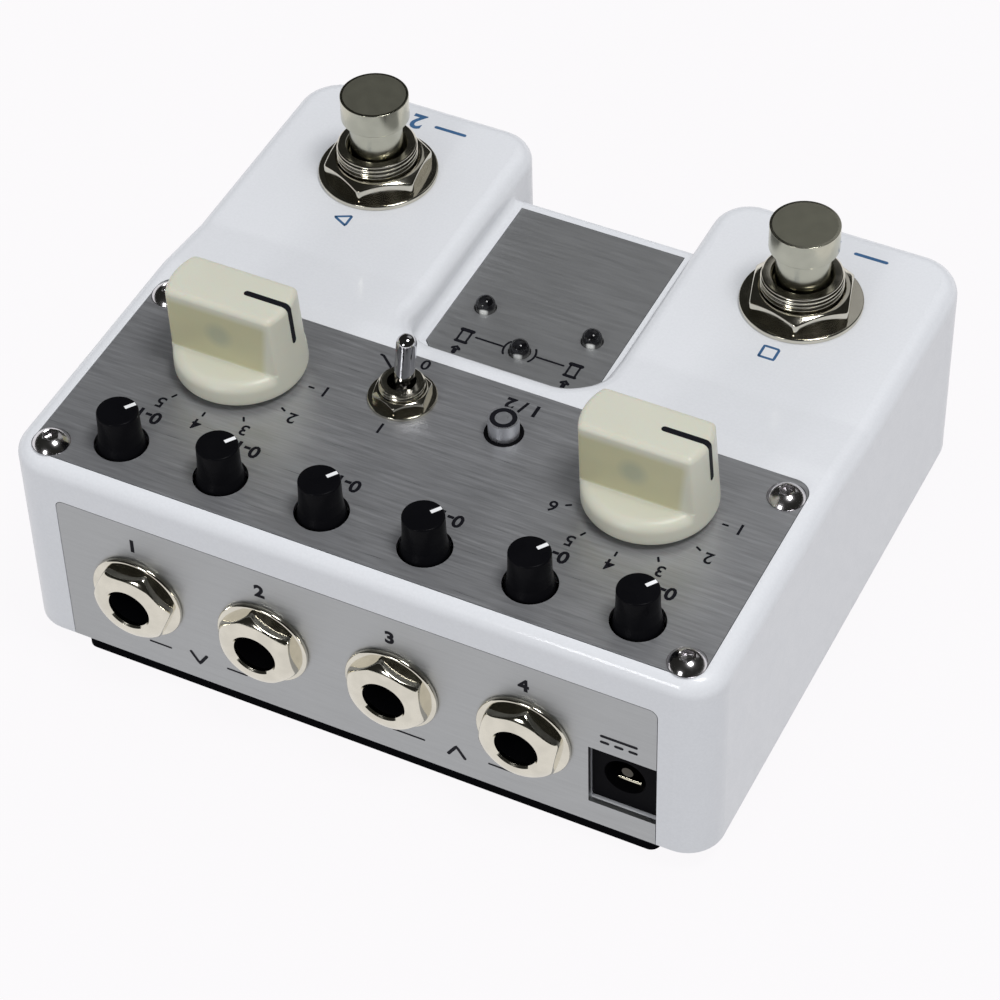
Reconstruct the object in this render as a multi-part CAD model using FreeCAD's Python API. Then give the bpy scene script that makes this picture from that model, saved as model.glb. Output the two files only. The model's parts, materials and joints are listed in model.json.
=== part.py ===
"""Twin-footswitch digital delay pedal, as an assembly of separate pieces.

Frame: origin on the floor under the middle of the pedal, +Z up, the player on the -Y side,
the jack face on the +Y side and +X to the player's right.  Sizes are millimetres.
Places along the pedal are written as a depth, measured from the jack face towards the player.
"""
import FreeCAD, Part
import os
from math import asin, cos, radians, sin, sqrt, tan

os.makedirs("parts", exist_ok=True)
Vec = FreeCAD.Vector
X_AXIS, Y_AXIS, Z_AXIS = Vec(1, 0, 0), Vec(0, 1, 0), Vec(0, 0, 1)

# Die-cast casing
casing_width = 108.3
casing_depth = 94.4
deck_height = 34.4          # flat control deck above the casing's lower rim
lobe_height = 32.9          # footswitch lobes above the same rim
middle_height = 28.5        # sunken floor between the lobes
wall = 2.4
deck_wall = 2.0             # casing left under a recessed plate
corner_radius = 5.5          # beside the jack face
far_corner_radius = 7.0      # outer corners of the lobes' ends
lobe_corner_radius = 6.0     # inner corners of the lobes' ends
top_edge_radius = 2.6
ramp_start, ramp_end = 44.6, 55.6
ramp_bend_radius = 8.0
channel_width = 30.6        # gap between the lobes
deck_back = 45.2            # depth at which the deck falls to the sunken floor
channel_corner_radius = 6.0
notch_depth = 10.1          # how far the lobes reach past the sunken floor
middle_edge_radius = 1.0
middle_foot_radius = 1.2    # where the sunken floor meets the lobes

# Base
base_plate_thickness = 1.5
sole_thickness = 4.0
sole_front_inset = 1.7      # from the jack face, the lobes' ends and the notch to the sole's edge
sole_side_inset = 8.4       # from the casing's sides to the sole's edge
sole_corner_radius = 1.5
sole_bay_gap = 0.5          # round a base screw's head
base_screw_side, base_screw_front, base_screw_back = 6.4, 19.5, 8.2

# Plates let into the casing
control_plate_thickness = 1.0
control_plate_depth = 39.3
control_plate_front_margin = 1.9
control_plate_side_margin = 2.95
control_plate_corner = 2.7
jack_plate_thickness = 0.8
jack_plate_height = 27.6
jack_plate_side_margin = 7.9
jack_plate_corner = 1.2
led_plate_thickness = 0.8
led_plate_width = 26.8
led_plate_gap = 2.0         # from the deck's back wall and from the far edge
led_plate_chamfer = 3.1

# Machine screws
screw_radius = 1.5
screw_head_radius = 2.75
screw_head_height = 1.65
screw_sink = 1.25           # height of a countersunk head
screw_length = 8.0
plate_screw_side, plate_screw_front, plate_screw_back = 2.65, 2.3, 3.6
boss_radius = 3.4           # casting round a screw
boss_gap = 0.5              # from a boss to a board

# Small rotary controls
small_knob_count = 6
small_knob_depth = 8.3
small_knob_edge = 11.6      # outermost knob axis from the plate's side edge
small_knob_radius = 3.0
small_knob_foot_radius = 3.5
small_knob_hole_radius = small_knob_foot_radius + 0.4
small_knob_rise = 6.2
small_knob_round = 1.5
small_shaft_radius = 1.75
pot_width, pot_depth, pot_height = 9.6, 10.8, 6.0

# Selector controls
selector_edge = 19.3        # selector axis from the plate's side edge
selector_depth = 29.2
selector_radius = 9.7
selector_top_radius = 8.6
selector_rise = 14.5
selector_gap = 1.0
selector_ledge = 4.5
selector_bar_width = 8.6
selector_edge_round = 0.9
selector_cap = 3.0          # plastic above the end of the shaft
selector_shaft_radius = 3.0
selector_bushing_radius = selector_shaft_radius + 0.5
selector_body_size = 15.6
selector_body_height = 6.6
selector_nut_flats = 2 * (selector_bushing_radius + 1.5)
selector_nut_thickness = 1.8

# Toggle switch
toggle_x, toggle_depth = 8.1, 32.9
toggle_bushing_radius = 3.0
toggle_bushing_rise = 3.2
toggle_hole_radius = 2.1
toggle_washer_radius, toggle_washer_thickness = toggle_bushing_radius + 2.0, 0.5
toggle_nut_flats = 2 * (toggle_bushing_radius + 1.0)
toggle_nut_thickness, toggle_nut_turn = 1.8, 40
toggle_body_width, toggle_body_length = 8.0, 12.6
toggle_lever_radius, toggle_lever_neck = 1.35, 1.0
toggle_lever_rise = 11.6
toggle_ball_radius, toggle_ball_flat = 2.0, 0.5
toggle_tail = 5.0
toggle_tilt = 13.0          # degrees from upright; at rest it leans towards the player

# Push button
button_x, button_depth = -8.0, 32.5
button_radius = 2.1
button_hole_radius = 2.55
button_rise = 2.9
button_travel = 1.2
button_flange_radius, button_flange_thickness = 3.2, 0.8
button_stem_radius = 1.3
button_switch_size = 6.6

# Footswitches
footswitch_lobe_offset = 0.15   # inwards from the middle of its lobe
footswitch_end = 18.1           # axis from the lobe's far end
footswitch_bushing_radius = 6.0
footswitch_bushing_rise = 4.5
footswitch_washer_radius, footswitch_washer_thickness = footswitch_bushing_radius + 3.1, 0.8
footswitch_nut_flats, footswitch_nut_thickness = 2 * (footswitch_bushing_radius + 1.0), 2.1
footswitch_stem_radius = 4.0
footswitch_cap_radius = 4.9
footswitch_cap_height = 5.9
footswitch_cap_taper = 1.0
footswitch_cap_bevel = 0.35
footswitch_travel = 2.5
footswitch_cap_gap = 1.0        # left between the cap and the bushing when pressed
footswitch_body_size, footswitch_body_height = 15.2, 16.0
footswitch_collar_radius, footswitch_collar_height = 4.7, 1.2
footswitch_mouth_radius, footswitch_mouth_depth = 4.9, 1.2
footswitch_floor_thickness = 1.5
footswitch_tag_pitch, footswitch_tag_length = 4.6, 3.0
footswitch_tag_width, footswitch_tag_thickness = 2.0, 0.5
spring_radius, spring_wire, spring_turns = 2.9, 0.8, 3

crown_flat = 0.1            # flat left on top of a dome

# Indicator lights
led_radius = 1.5
led_rise = 2.1
led_pair_spacing = 17.3
led_pair_depth, led_single_depth = 60.15, 53.75

# Jack sockets and power socket
jack_count = 4
jack_bore_radius = 3.2
jack_bushing_radius = 4.5
jack_height = 13.5
jack_end_margin = 12.0      # outermost jack axis from the plate's side edge
jack_last_margin = 19.7     # and at the power socket's end
jack_body_width = 15.4
jack_body_top = 7.7         # above the bore's axis
jack_body_length = 28.0
jack_end_wall = 1.2
jack_slot, jack_slot_depths = 0.8, (10.5, 22.5)
jack_contact_width, jack_contact_thickness = 2.4, 0.5
jack_washer_radius, jack_washer_thickness = jack_bushing_radius + 2.0, 0.8
jack_nut_flats, jack_nut_length = 2 * (jack_bushing_radius + 1.35), 2.4
jack_nut_lip = 0.9
jack_nut_turns = (8, 38, 38, 21)
jack_nut_face_radius, jack_nut_edge = 4.6, 1.1
dc_window_width, dc_window_low, dc_window_high = 10.1, 4.3, 15.7
dc_body_set_back = 1.0
dc_body_length = 13.6
dc_hole_radius, dc_hole_depth = 3.1, 9.5
dc_pin_radius, dc_pin_set_back = 1.0, 0.8

# Boards
board_thickness = 1.6
main_board_gap = 1.8        # above the base plate
board_edge = 9.0            # from the casing's side to a board's edge
board_front = 3.0
main_board_back = 62.0
control_board_back = 42.0
tongue_width, tongue_back = 31.0, 63.0
standoff_flats = 4.5

chip_depth, capacitor_depth = 38.0, 47.5
can_x, can_radius, can_height = 31.0, 4.0, 8.0
film_x, film_width, film_depth, film_height = 20.5, 7.2, 2.6, 6.5
lead_width, lead_thickness = 11.6, 0.9
lead_plug_front, lead_plug_back = 54.0, 59.0

# Named clearances
running_gap = 0.05          # radial, shaft in bearing
seat_gap = 0.03             # piece seated on its own body
plate_gap = 0.1             # round a plate in its recess
base_gap = 0.2              # round the base plate inside the casing's wall
hole_gap = 0.2              # fixed piece through a hole
deck_seat = 0.3             # switch body under the deck
travel_gap = 0.1            # stop of a moving piece at rest

# Levels and places worked out from the sizes above
rim = sole_thickness
base_top = rim + base_plate_thickness
deck = rim + deck_height
lobe = rim + lobe_height
middle = rim + middle_height
half_width = casing_width / 2
channel = channel_width / 2
middle_back = casing_depth - notch_depth
deck_under = deck - control_plate_thickness - deck_wall
lobe_under = lobe - wall
middle_under = middle - led_plate_thickness - deck_wall
jack_proud = jack_washer_thickness + jack_nut_length
face_y = (casing_depth - jack_proud) / 2
plate_half = half_width - control_plate_side_margin
plate_front = control_plate_front_margin
plate_back = plate_front + control_plate_depth
led_front, led_back = deck_back + led_plate_gap, middle_back - led_plate_gap
main_board_low = base_top + main_board_gap
main_board_top = main_board_low + board_thickness
control_board_top = deck_under - deck_seat - selector_body_height
control_board_low = control_board_top - board_thickness
board_half = half_width - board_edge
jack_z = rim + jack_height
jack_plate_half = half_width - jack_plate_side_margin
dc_x = -(jack_plate_half - dc_window_width / 2)
jack_first_x = jack_plate_half - jack_end_margin
jack_last_x = -(jack_plate_half - jack_last_margin)
jack_xs = [jack_first_x + i * (jack_last_x - jack_first_x) / (jack_count - 1) for i in range(jack_count)]
knob_end_x = plate_half - small_knob_edge
knob_xs = [knob_end_x - i * 2 * knob_end_x / (small_knob_count - 1) for i in range(small_knob_count)]
selector_x = plate_half - selector_edge
footswitch_x = (half_width + channel) / 2 - footswitch_lobe_offset
footswitch_depth = casing_depth - footswitch_end
footswitch_floor = lobe_under - footswitch_body_height
footswitch_top = (lobe + footswitch_bushing_rise + footswitch_travel + footswitch_cap_gap
                  + footswitch_cap_taper + footswitch_cap_height)
led_spots = [(-led_pair_spacing / 2, led_pair_depth), (led_pair_spacing / 2, led_pair_depth),
             (0, led_single_depth)]
plate_screw_spots = [(s * (plate_half - plate_screw_side), d) for s in (-1, 1)
                     for d in (plate_front + plate_screw_front, plate_back - plate_screw_back)]
base_screw_spots = [(s * (half_width - base_screw_side), d) for s in (-1, 1)
                    for d in (base_screw_front, casing_depth - base_screw_back)]
toggle_pivot = deck + 0.2
reach = 10.0                # how far a cutting tool runs past the piece


def place(x, depth, z):
    """Point at a side position, a depth from the jack face and a height."""
    return Vec(x, face_y - depth, z)


def upright_edges(shape):
    """The straight edges of a shape that run along Z."""
    found = []
    for edge in shape.Edges:
        first, last = edge.Vertexes[0].Point, edge.Vertexes[-1].Point
        if abs(first.x - last.x) < 1e-6 and abs(first.y - last.y) < 1e-6 and abs(first.z - last.z) > 1e-6:
            found.append(edge)
    return found


def block(x0, x1, depth0, depth1, z0, z1, corner=0.0):
    """Box between two side positions, two depths and two heights, with rounded upright edges."""
    low_x, low_z = min(x0, x1), min(z0, z1)
    box = Part.makeBox(abs(x1 - x0), depth1 - depth0, abs(z1 - z0), Vec(low_x, face_y - depth1, low_z))
    if corner > 0:
        box = box.makeFillet(corner, upright_edges(box))
    return box


def centred(x, depth, wide, deep, z0, z1, corner=0.0):
    """Block centred on a place."""
    return block(x - wide / 2, x + wide / 2, depth - deep / 2, depth + deep / 2, z0, z1, corner)


def post(radius, x, depth, z0, z1):
    """Upright cylinder."""
    return Part.makeCylinder(radius, z1 - z0, place(x, depth, z0), Z_AXIS)


def barrel(radius, x, z, depth0, depth1):
    """Cylinder that runs from the jack face inwards."""
    return Part.makeCylinder(radius, depth1 - depth0, place(x, depth1, z), Y_AXIS)


def ring(outer, inner, x, depth, z0, z1):
    """Flat upright ring."""
    return post(outer, x, depth, z0, z1).cut(post(inner, x, depth, z0 - reach, z1 + reach))


def turned(profile, x, depth):
    """Solid of revolution about an upright axis, from (radius, height, corner rounding) points."""
    points = [place(x, depth, 0) + Vec(point[0], 0, point[1]) for point in profile]
    rounds = [point[2] if len(point) > 2 else 0 for point in profile]
    return Part.Face(rounded_loop(points, rounds)).revolve(place(x, depth, 0), Z_AXIS, 360)


def turned_inwards(profile, x, z):
    """The same about an axis square to the jack face, from (radius, depth, corner rounding) points."""
    points = [place(x, point[1], z) + Vec(0, 0, point[0]) for point in profile]
    rounds = [point[2] if len(point) > 2 else 0 for point in profile]
    return Part.Face(rounded_loop(points, rounds)).revolve(place(x, 0, z), Y_AXIS, 360)


def hexagon(flats, centre, normal, length, turn=0.0):
    """Hexagonal prism, flats apart, from centre along normal."""
    corner = flats / 2 / cos(radians(30))
    points = []
    for i in range(6):
        angle = radians(turn + 60 * i)
        across, up = corner * cos(angle), corner * sin(angle)
        points.append(centre + (Vec(across, up, 0) if abs(normal.z) > 0.5 else Vec(across, 0, up)))
    return Part.Face(Part.makePolygon(points + points[:1])).extrude(normal * length)


def nut(flats, bore, x, depth, z0, thickness, turn=0.0, chamfered=True):
    """Upright hexagon nut, its upper rim chamfered at 30 degrees."""
    body = hexagon(flats, place(x, depth, z0), Z_AXIS, thickness, turn)
    if not chamfered:
        return body.cut(post(bore, x, depth, z0 - reach, z0 + reach))
    corner = flats / 2 / cos(radians(30))
    drop = (corner - flats / 2) * tan(radians(30))
    z1 = z0 + thickness
    dome = turned([(0, z0), (corner + 0.1, z0), (corner + 0.1, z1 - drop), (corner, z1 - drop),
                   (flats / 2, z1), (0, z1)], x, depth)
    return body.common(dome).cut(post(bore, x, depth, z0 - reach, z1 + reach))


def rounded_loop(points, radii):
    """Closed wire through points, each corner an arc of its radius."""
    ends = []
    for i, corner in enumerate(points):
        before = (points[i - 1] - corner).normalize()
        after = (points[(i + 1) % len(points)] - corner).normalize()
        if radii[i] <= 0:
            ends.append((corner, None, corner))
            continue
        half_turn = before.getAngle(after) / 2
        reach_back = radii[i] / tan(half_turn)
        middle_way = (before + after).normalize() * (radii[i] / sin(half_turn) - radii[i])
        ends.append((corner + before * reach_back, corner + middle_way, corner + after * reach_back))
    edges = []
    for i, (start, through, end) in enumerate(ends):
        if through is not None:
            edges.append(Part.Arc(start, through, end).toShape())
        onward = ends[(i + 1) % len(ends)][0]
        if end.distanceToPoint(onward) > 1e-6:
            edges.append(Part.LineSegment(end, onward).toShape())
    return Part.Wire(edges)


def save(name, solids):
    """Write one node as one STEP file holding its separate solids."""
    found = []
    for shape in solids if isinstance(solids, list) else [solids]:
        found.extend(shape.Solids)
    whole = found[0] if len(found) == 1 else Part.makeCompound(found)
    whole.exportStep("parts/%s.step" % name)
    return whole


def outline_prism(inset, z0, z1):
    """The pedal's plan, drawn in by an inset: block with a notch between two lobes, its corners round."""
    half, gap = half_width - inset, channel + inset
    far, beyond = casing_depth - inset, casing_depth + reach
    body = block(-half, half, inset, far, z0, z1)
    body = body.cut(block(-gap, gap, middle_back - inset, beyond, z0 - reach, z1 + reach))
    for radius, x, depth in ((corner_radius, half, inset), (far_corner_radius, half, far),
                             (lobe_corner_radius, gap, far)):
        ends = [edge for edge in upright_edges(body) if abs(abs(edge.CenterOfMass.x) - x) < 1e-4
                and abs(edge.CenterOfMass.y - (face_y - depth)) < 1e-4]
        body = body.makeFillet(radius - inset, ends)
    return body


def side_profile():
    """Flat deck, short ramp down and flat lobes, swept across the pedal's whole width."""
    corners = [(-reach, rim), (-reach, deck), (ramp_start, deck), (ramp_end, lobe),
               (casing_depth + reach, lobe), (casing_depth + reach, rim)]
    wire = rounded_loop([place(-casing_width, depth, z) for depth, z in corners],
                        [0, 0, ramp_bend_radius, ramp_bend_radius, 0, 0])
    return Part.Face(wire).extrude(Vec(2 * casing_width, 0, 0))


def top_border(shape, lowest):
    """Edges between the faces that look up, above a height, and the walls beside them."""
    def looks_up(face):
        u0, u1, v0, v1 = face.ParameterRange
        return face.normalAt((u0 + u1) / 2, (v0 + v1) / 2).z > 0.9 and face.CenterOfMass.z > lowest
    tops = [face for face in shape.Faces if looks_up(face)]
    seen = {}
    for face in tops:
        for edge in face.Edges:
            key = edge.hashCode()
            seen[key] = (seen.get(key, (0, edge))[0] + 1, edge)
    return [edge for count, edge in seen.values() if count == 1]


def make_casing():
    """Open-bottomed casting: lobes, sunken middle, plate recesses, bosses and every hole."""
    outer = outline_prism(0, rim, deck + reach).common(side_profile())
    channel_cut = block(-channel, channel, deck_back, casing_depth + 2 * reach, middle, deck + reach,
                        channel_corner_radius)
    outer = outer.cut(channel_cut)
    outer = outer.makeFillet(top_edge_radius, top_border(outer, lobe - 0.1))
    far_edge = [edge for edge in outer.Edges if abs(edge.CenterOfMass.z - middle) < 1e-4
                and abs(edge.CenterOfMass.y - (face_y - middle_back)) < 1e-4]
    outer = outer.makeFillet(middle_edge_radius, far_edge)
    foot = [edge for edge in channel_cut.Edges if edge.BoundBox.ZMax < middle + 1e-3]
    coving = channel_cut.cut(channel_cut.makeFillet(middle_foot_radius, foot))
    outer = outer.fuse(coving.common(block(-channel, channel, deck_back, middle_back - middle_edge_radius,
                                           middle, deck)))

    casing = outer.cut(make_cavity())
    inner = half_width - wall + 0.5
    for side in (-1, 1):
        for x, depth in base_screw_spots:
            if x * side > 0:
                boss = block(x - side * boss_radius, side * inner, depth - boss_radius, depth + boss_radius,
                             base_top, rim + screw_length + wall)
                casing = casing.fuse(boss)
        for x, depth in plate_screw_spots:
            if x * side > 0:
                boss = block(x - side * boss_radius, side * inner, max(depth - boss_radius, wall - 0.5),
                             depth + boss_radius, deck_under - screw_length, deck_under + 0.5)
                casing = casing.fuse(boss.common(outline_prism(wall - 0.5, rim, deck)))
    casing = casing.cut(block(-plate_half - plate_gap, plate_half + plate_gap, plate_front - plate_gap,
                              plate_back + plate_gap, deck - control_plate_thickness, deck + reach,
                              control_plate_corner + plate_gap))
    casing = casing.cut(jack_plate_blank(plate_gap, -reach, jack_plate_thickness))
    casing = casing.cut(led_plate_blank(plate_gap, middle - led_plate_thickness, middle + reach))
    for hole in casing_holes():
        casing = casing.cut(hole)
    return casing.removeSplitter()


def make_cavity():
    """Room inside the casting: high under the deck, lower under the lobes and the sunken middle."""
    front = block(-half_width, half_width, 0, deck_back - wall, rim - reach, deck_under)
    lobes = block(-half_width, half_width, deck_back - wall - 1, casing_depth, rim - reach, lobe_under)
    side = channel + wall
    sunken = block(-side, side, deck_back - wall, casing_depth, middle_under, deck + reach)
    return outline_prism(wall, rim - reach, deck + reach).common(front.fuse(lobes).cut(sunken))


def casing_holes():
    """Tools for every hole through the casting's walls and into its bosses."""
    half_slot = knob_end_x + small_knob_hole_radius + hole_gap
    slot_front = small_knob_depth - small_knob_hole_radius - hole_gap
    slot_back = small_knob_depth + small_knob_hole_radius + hole_gap
    holes = [block(-half_slot, half_slot, slot_front, slot_back, deck_under - 1, deck,
                   small_knob_hole_radius)]
    holes += [post(selector_bushing_radius + hole_gap, s * selector_x, selector_depth, deck_under - 1, deck)
              for s in (-1, 1)]
    holes.append(post(toggle_bushing_radius + hole_gap, toggle_x, toggle_depth, deck_under - 1, deck))
    holes.append(post(button_hole_radius, button_x, button_depth, deck_under - 1, deck))
    holes += [post(footswitch_bushing_radius + hole_gap, s * footswitch_x, footswitch_depth,
                   lobe_under - 1, lobe + 1) for s in (-1, 1)]
    holes += [post(led_radius + hole_gap, x, depth, middle_under - 1, middle) for x, depth in led_spots]
    holes += [barrel(jack_bushing_radius + hole_gap, x, jack_z, -1, wall + 1) for x in jack_xs]
    holes.append(block(dc_x - dc_window_width / 2, dc_x + dc_window_width / 2, -1, wall + 1,
                       rim + dc_window_low, rim + dc_window_high))
    holes += [post(screw_radius + seat_gap, x, depth, deck - control_plate_thickness - screw_length, deck)
              for x, depth in plate_screw_spots]
    holes += [post(screw_radius + seat_gap, x, depth, rim - 1, rim + screw_length + 1)
              for x, depth in base_screw_spots]
    return holes


def jack_plate_blank(grow, depth0, depth1):
    """Plate on the jack face, open to the rim, grown by a gap for its recess."""
    half, top = jack_plate_half + grow, rim + jack_plate_height + grow
    corners = [(-half, rim), (half, rim), (half, top), (-half, top)]
    radius = jack_plate_corner + grow
    wire = rounded_loop([place(x, depth0, z) for x, z in corners], [0, 0, radius, radius])
    return Part.Face(wire).extrude(Vec(0, depth0 - depth1, 0))


def led_plate_blank(grow, z0, z1):
    """Plate between the lobes with its two near corners cut off, grown by a gap for its recess."""
    half, cut = led_plate_width / 2 + grow, led_plate_chamfer
    front, back = led_front - grow, led_back + grow
    corners = [(-half + cut, front), (half - cut, front), (half, front + cut), (half, back),
               (-half, back), (-half, front + cut)]
    wire = Part.makePolygon([place(x, d, z0) for x, d in corners + corners[:1]])
    return Part.Face(wire).extrude(Vec(0, 0, z1 - z0))


def make_control_plate():
    plate = block(-plate_half, plate_half, plate_front, plate_back, deck - control_plate_thickness, deck,
                  control_plate_corner)
    holes = [(small_knob_hole_radius, x, small_knob_depth) for x in knob_xs]
    holes += [(selector_bushing_radius + hole_gap, s * selector_x, selector_depth) for s in (-1, 1)]
    holes.append((toggle_bushing_radius + hole_gap, toggle_x, toggle_depth))
    holes.append((button_hole_radius, button_x, button_depth))
    holes += [(screw_radius + hole_gap, x, depth) for x, depth in plate_screw_spots]
    for radius, x, depth in holes:
        plate = plate.cut(post(radius, x, depth, deck - reach, deck + reach))
    return plate


def make_jack_plate():
    plate = jack_plate_blank(0, 0, jack_plate_thickness)
    for x in jack_xs:
        plate = plate.cut(barrel(jack_bushing_radius + hole_gap, x, jack_z, -reach, reach))
    return plate.cut(block(dc_x - dc_window_width / 2, dc_x + reach, -reach, reach,
                           rim + dc_window_low, rim + dc_window_high).common(
        block(dc_x - reach, dc_x + dc_window_width / 2, -reach, reach, rim, deck)))


def make_led_plate():
    plate = led_plate_blank(0, middle - led_plate_thickness, middle)
    for x, depth in led_spots:
        plate = plate.cut(post(led_radius + hole_gap, x, depth, middle - reach, middle + reach))
    return plate


def make_base_plate():
    """Steel plate inside the casing's wall, flush with its rim, with countersunk holes."""
    plate = outline_prism(wall + base_gap, rim, base_top)
    wide, narrow = screw_head_radius + hole_gap, screw_radius + hole_gap
    for x, depth in base_screw_spots:
        plate = plate.cut(turned([(0, rim - 1), (wide, rim - 1), (wide, rim), (narrow, rim + screw_sink),
                                  (narrow, base_top + 1), (0, base_top + 1)], x, depth))
    return plate


def make_sole():
    """Rubber mat stuck under the base plate, with a bay in its edge for each base screw."""
    half, gap = half_width - sole_side_inset, channel + sole_front_inset
    mat = block(-half, half, sole_front_inset, casing_depth - sole_front_inset, 0, sole_thickness)
    mat = mat.cut(block(-gap, gap, middle_back - sole_front_inset, casing_depth, -reach, reach))
    mat = mat.makeFillet(sole_corner_radius, upright_edges(mat))
    for x, depth in base_screw_spots:
        mat = mat.cut(post(screw_head_radius + sole_bay_gap, x, depth, -reach, reach))
    return mat


def make_button_screw(x, depth):
    """Button-head machine screw of the control plate."""
    ball_drop = (screw_head_radius ** 2 - screw_head_height ** 2) / (2 * screw_head_height)
    ball_radius = sqrt(ball_drop ** 2 + screw_head_radius ** 2)
    half_way = asin(screw_head_radius / ball_radius) / 2
    seat, crown = place(x, depth, deck), place(x, depth, deck + screw_head_height)
    edge = seat + Vec(screw_head_radius, 0, 0)
    on_dome = seat + Vec(ball_radius * sin(half_way), 0, ball_radius * cos(half_way) - ball_drop)
    tip = place(x, depth, deck - screw_length)
    shank = Vec(screw_radius, 0, 0)
    corners = [crown, tip, tip + shank, seat + shank, edge]
    edges = [Part.LineSegment(a, b).toShape() for a, b in zip(corners, corners[1:])]
    edges.append(Part.Arc(edge, on_dome, crown).toShape())
    return Part.Face(Part.Wire(edges)).revolve(crown, Z_AXIS, 360)


def make_base_screw(x, depth):
    """Countersunk machine screw of the base plate, its head flush with the plate."""
    low = rim + seat_gap
    return turned([(0, low), (screw_head_radius, low), (screw_radius, low + screw_sink),
                   (screw_radius, low + screw_length), (0, low + screw_length)], x, depth)


def make_small_knob(x):
    """One-piece plastic knob and shaft: domed top, flared foot in the plate's hole, slim journal."""
    base, top = deck_under + 0.4, deck + small_knob_rise
    low = control_board_top + 2 + seat_gap
    return turned([(0, low), (small_shaft_radius, low), (small_shaft_radius, base),
                   (small_knob_foot_radius, base), (small_knob_foot_radius, deck),
                   (small_knob_radius, deck + 0.9), (small_knob_radius, top, small_knob_round), (0, top)],
                  x, small_knob_depth)


def make_pot_body(x):
    """Carbon-track body on the control board, open at the top for its shaft."""
    z0, z1 = control_board_top, control_board_top + pot_height
    behind = (pot_depth - pot_width) / 2
    body = centred(x, small_knob_depth + behind, pot_width, pot_depth, z0, z1)
    return body.cut(post(small_shaft_radius + running_gap, x, small_knob_depth, z0 + 2, z1 + 1))


def make_selector_knob(side):
    """Tapered round knob cut to a wide finger bar above a rounded ledge."""
    x, z0, z1 = side * selector_x, deck + selector_gap, deck + selector_rise
    knob = turned([(0, z0), (selector_radius, z0), (selector_top_radius, z1), (0, z1)], x, selector_depth)
    for way in (-1, 1):
        middle_of_cut = selector_depth + way * (selector_bar_width / 2 + selector_radius)
        knob = knob.cut(centred(x, middle_of_cut, 4 * selector_radius, 2 * selector_radius,
                                deck + selector_ledge, z1 + reach))
    knob = knob.makeFillet(selector_edge_round, outer_edges(knob, x))
    hollow = selector_nut_flats / 2 / cos(radians(30)) + 1.2
    knob = knob.cut(post(hollow, x, selector_depth, z0 - 1, deck + selector_nut_thickness + 1.2))
    return knob.cut(post(selector_shaft_radius + seat_gap, x, selector_depth, z0 - 1, z1 - selector_cap))


def outer_edges(knob, x):
    """Edges of a selector knob to round: all above its lower rim but the seams and the inner corners."""
    found = []
    for edge in knob.Edges:
        holders = [face for face in knob.Faces if any(edge.isSame(other) for other in face.Edges)]
        centre = edge.CenterOfMass
        straight = edge.Curve.TypeId == "Part::GeomLine"
        inner_corner = straight and abs(centre.x - x) < 0.1 and abs(centre.z - deck - selector_ledge) < 0.01
        if centre.z > deck + selector_gap + 0.5 and len(holders) == 2 and not inner_corner:
            found.append(edge)
    return found


def make_selector_nut(side):
    return nut(selector_nut_flats, selector_bushing_radius + seat_gap, side * selector_x, selector_depth,
               deck, selector_nut_thickness, chamfered=False)


def make_selector_shaft(side):
    """Turning shaft of a selector, from inside its switch up into the knob."""
    return post(selector_shaft_radius, side * selector_x, selector_depth, control_board_top + 2 + seat_gap,
                deck + selector_rise - selector_cap - seat_gap)


def make_selector_body(side):
    """Rotary switch body on the control board with its threaded bushing through the deck."""
    x, z0 = side * selector_x, control_board_top
    z1, top = z0 + selector_body_height, deck + selector_nut_thickness + 0.7
    body = centred(x, selector_depth, selector_body_size, selector_body_size, z0, z1)
    body = body.fuse(post(selector_bushing_radius, x, selector_depth, z1 - 1, top))
    return body.cut(post(selector_shaft_radius + running_gap, x, selector_depth, z0 + 2, deck + reach))


def lean(shape, pivot_x, pivot_depth, pivot_z, angle):
    """Turn a shape about the side-to-side axis through a pivot; positive leans to the player."""
    leaned = shape.copy()
    leaned.rotate(place(pivot_x, pivot_depth, pivot_z), X_AXIS, angle)
    return leaned


def make_toggle_body():
    """Switch case under the deck with its threaded bushing and room for the lever's tail."""
    z0, z1, top = control_board_top, deck_under, deck + toggle_bushing_rise
    body = centred(toggle_x, toggle_depth, toggle_body_width, toggle_body_length, z0, z1, 0.6)
    body = body.fuse(post(toggle_bushing_radius, toggle_x, toggle_depth, z1 - 1, top))
    body = body.cut(post(toggle_hole_radius, toggle_x, toggle_depth, z0 + 1.8, top + 1))
    slot = 2 * (toggle_ball_radius + 1.6)
    return body.cut(centred(toggle_x, toggle_depth, 2 * toggle_hole_radius, slot, z0 + 1.8, z1 - 1.2))


def make_toggle_lever():
    """Round-ended lever with a slim neck, a ball that rocks in the bushing and a short tail."""
    tip, pivot, neck = deck + toggle_lever_rise, toggle_pivot, toggle_lever_neck
    ball, flat, thick = toggle_ball_radius, toggle_ball_flat, toggle_lever_radius
    lever = turned([(0, pivot - toggle_tail), (neck, pivot - toggle_tail), (neck, pivot - ball),
                    (ball, pivot - flat), (ball, pivot + flat), (neck, pivot + ball), (neck, pivot + 3.6),
                    (thick, pivot + 4.6), (thick, tip, thick - crown_flat), (0, tip)],
                   toggle_x, toggle_depth)
    return lean(lever, toggle_x, toggle_depth, pivot, toggle_tilt)


def make_toggle_washer():
    return ring(toggle_washer_radius, toggle_bushing_radius + hole_gap, toggle_x, toggle_depth,
                deck, deck + toggle_washer_thickness)


def make_toggle_nut():
    return nut(toggle_nut_flats, toggle_bushing_radius + seat_gap, toggle_x, toggle_depth,
               deck + toggle_washer_thickness, toggle_nut_thickness, toggle_nut_turn)


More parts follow.
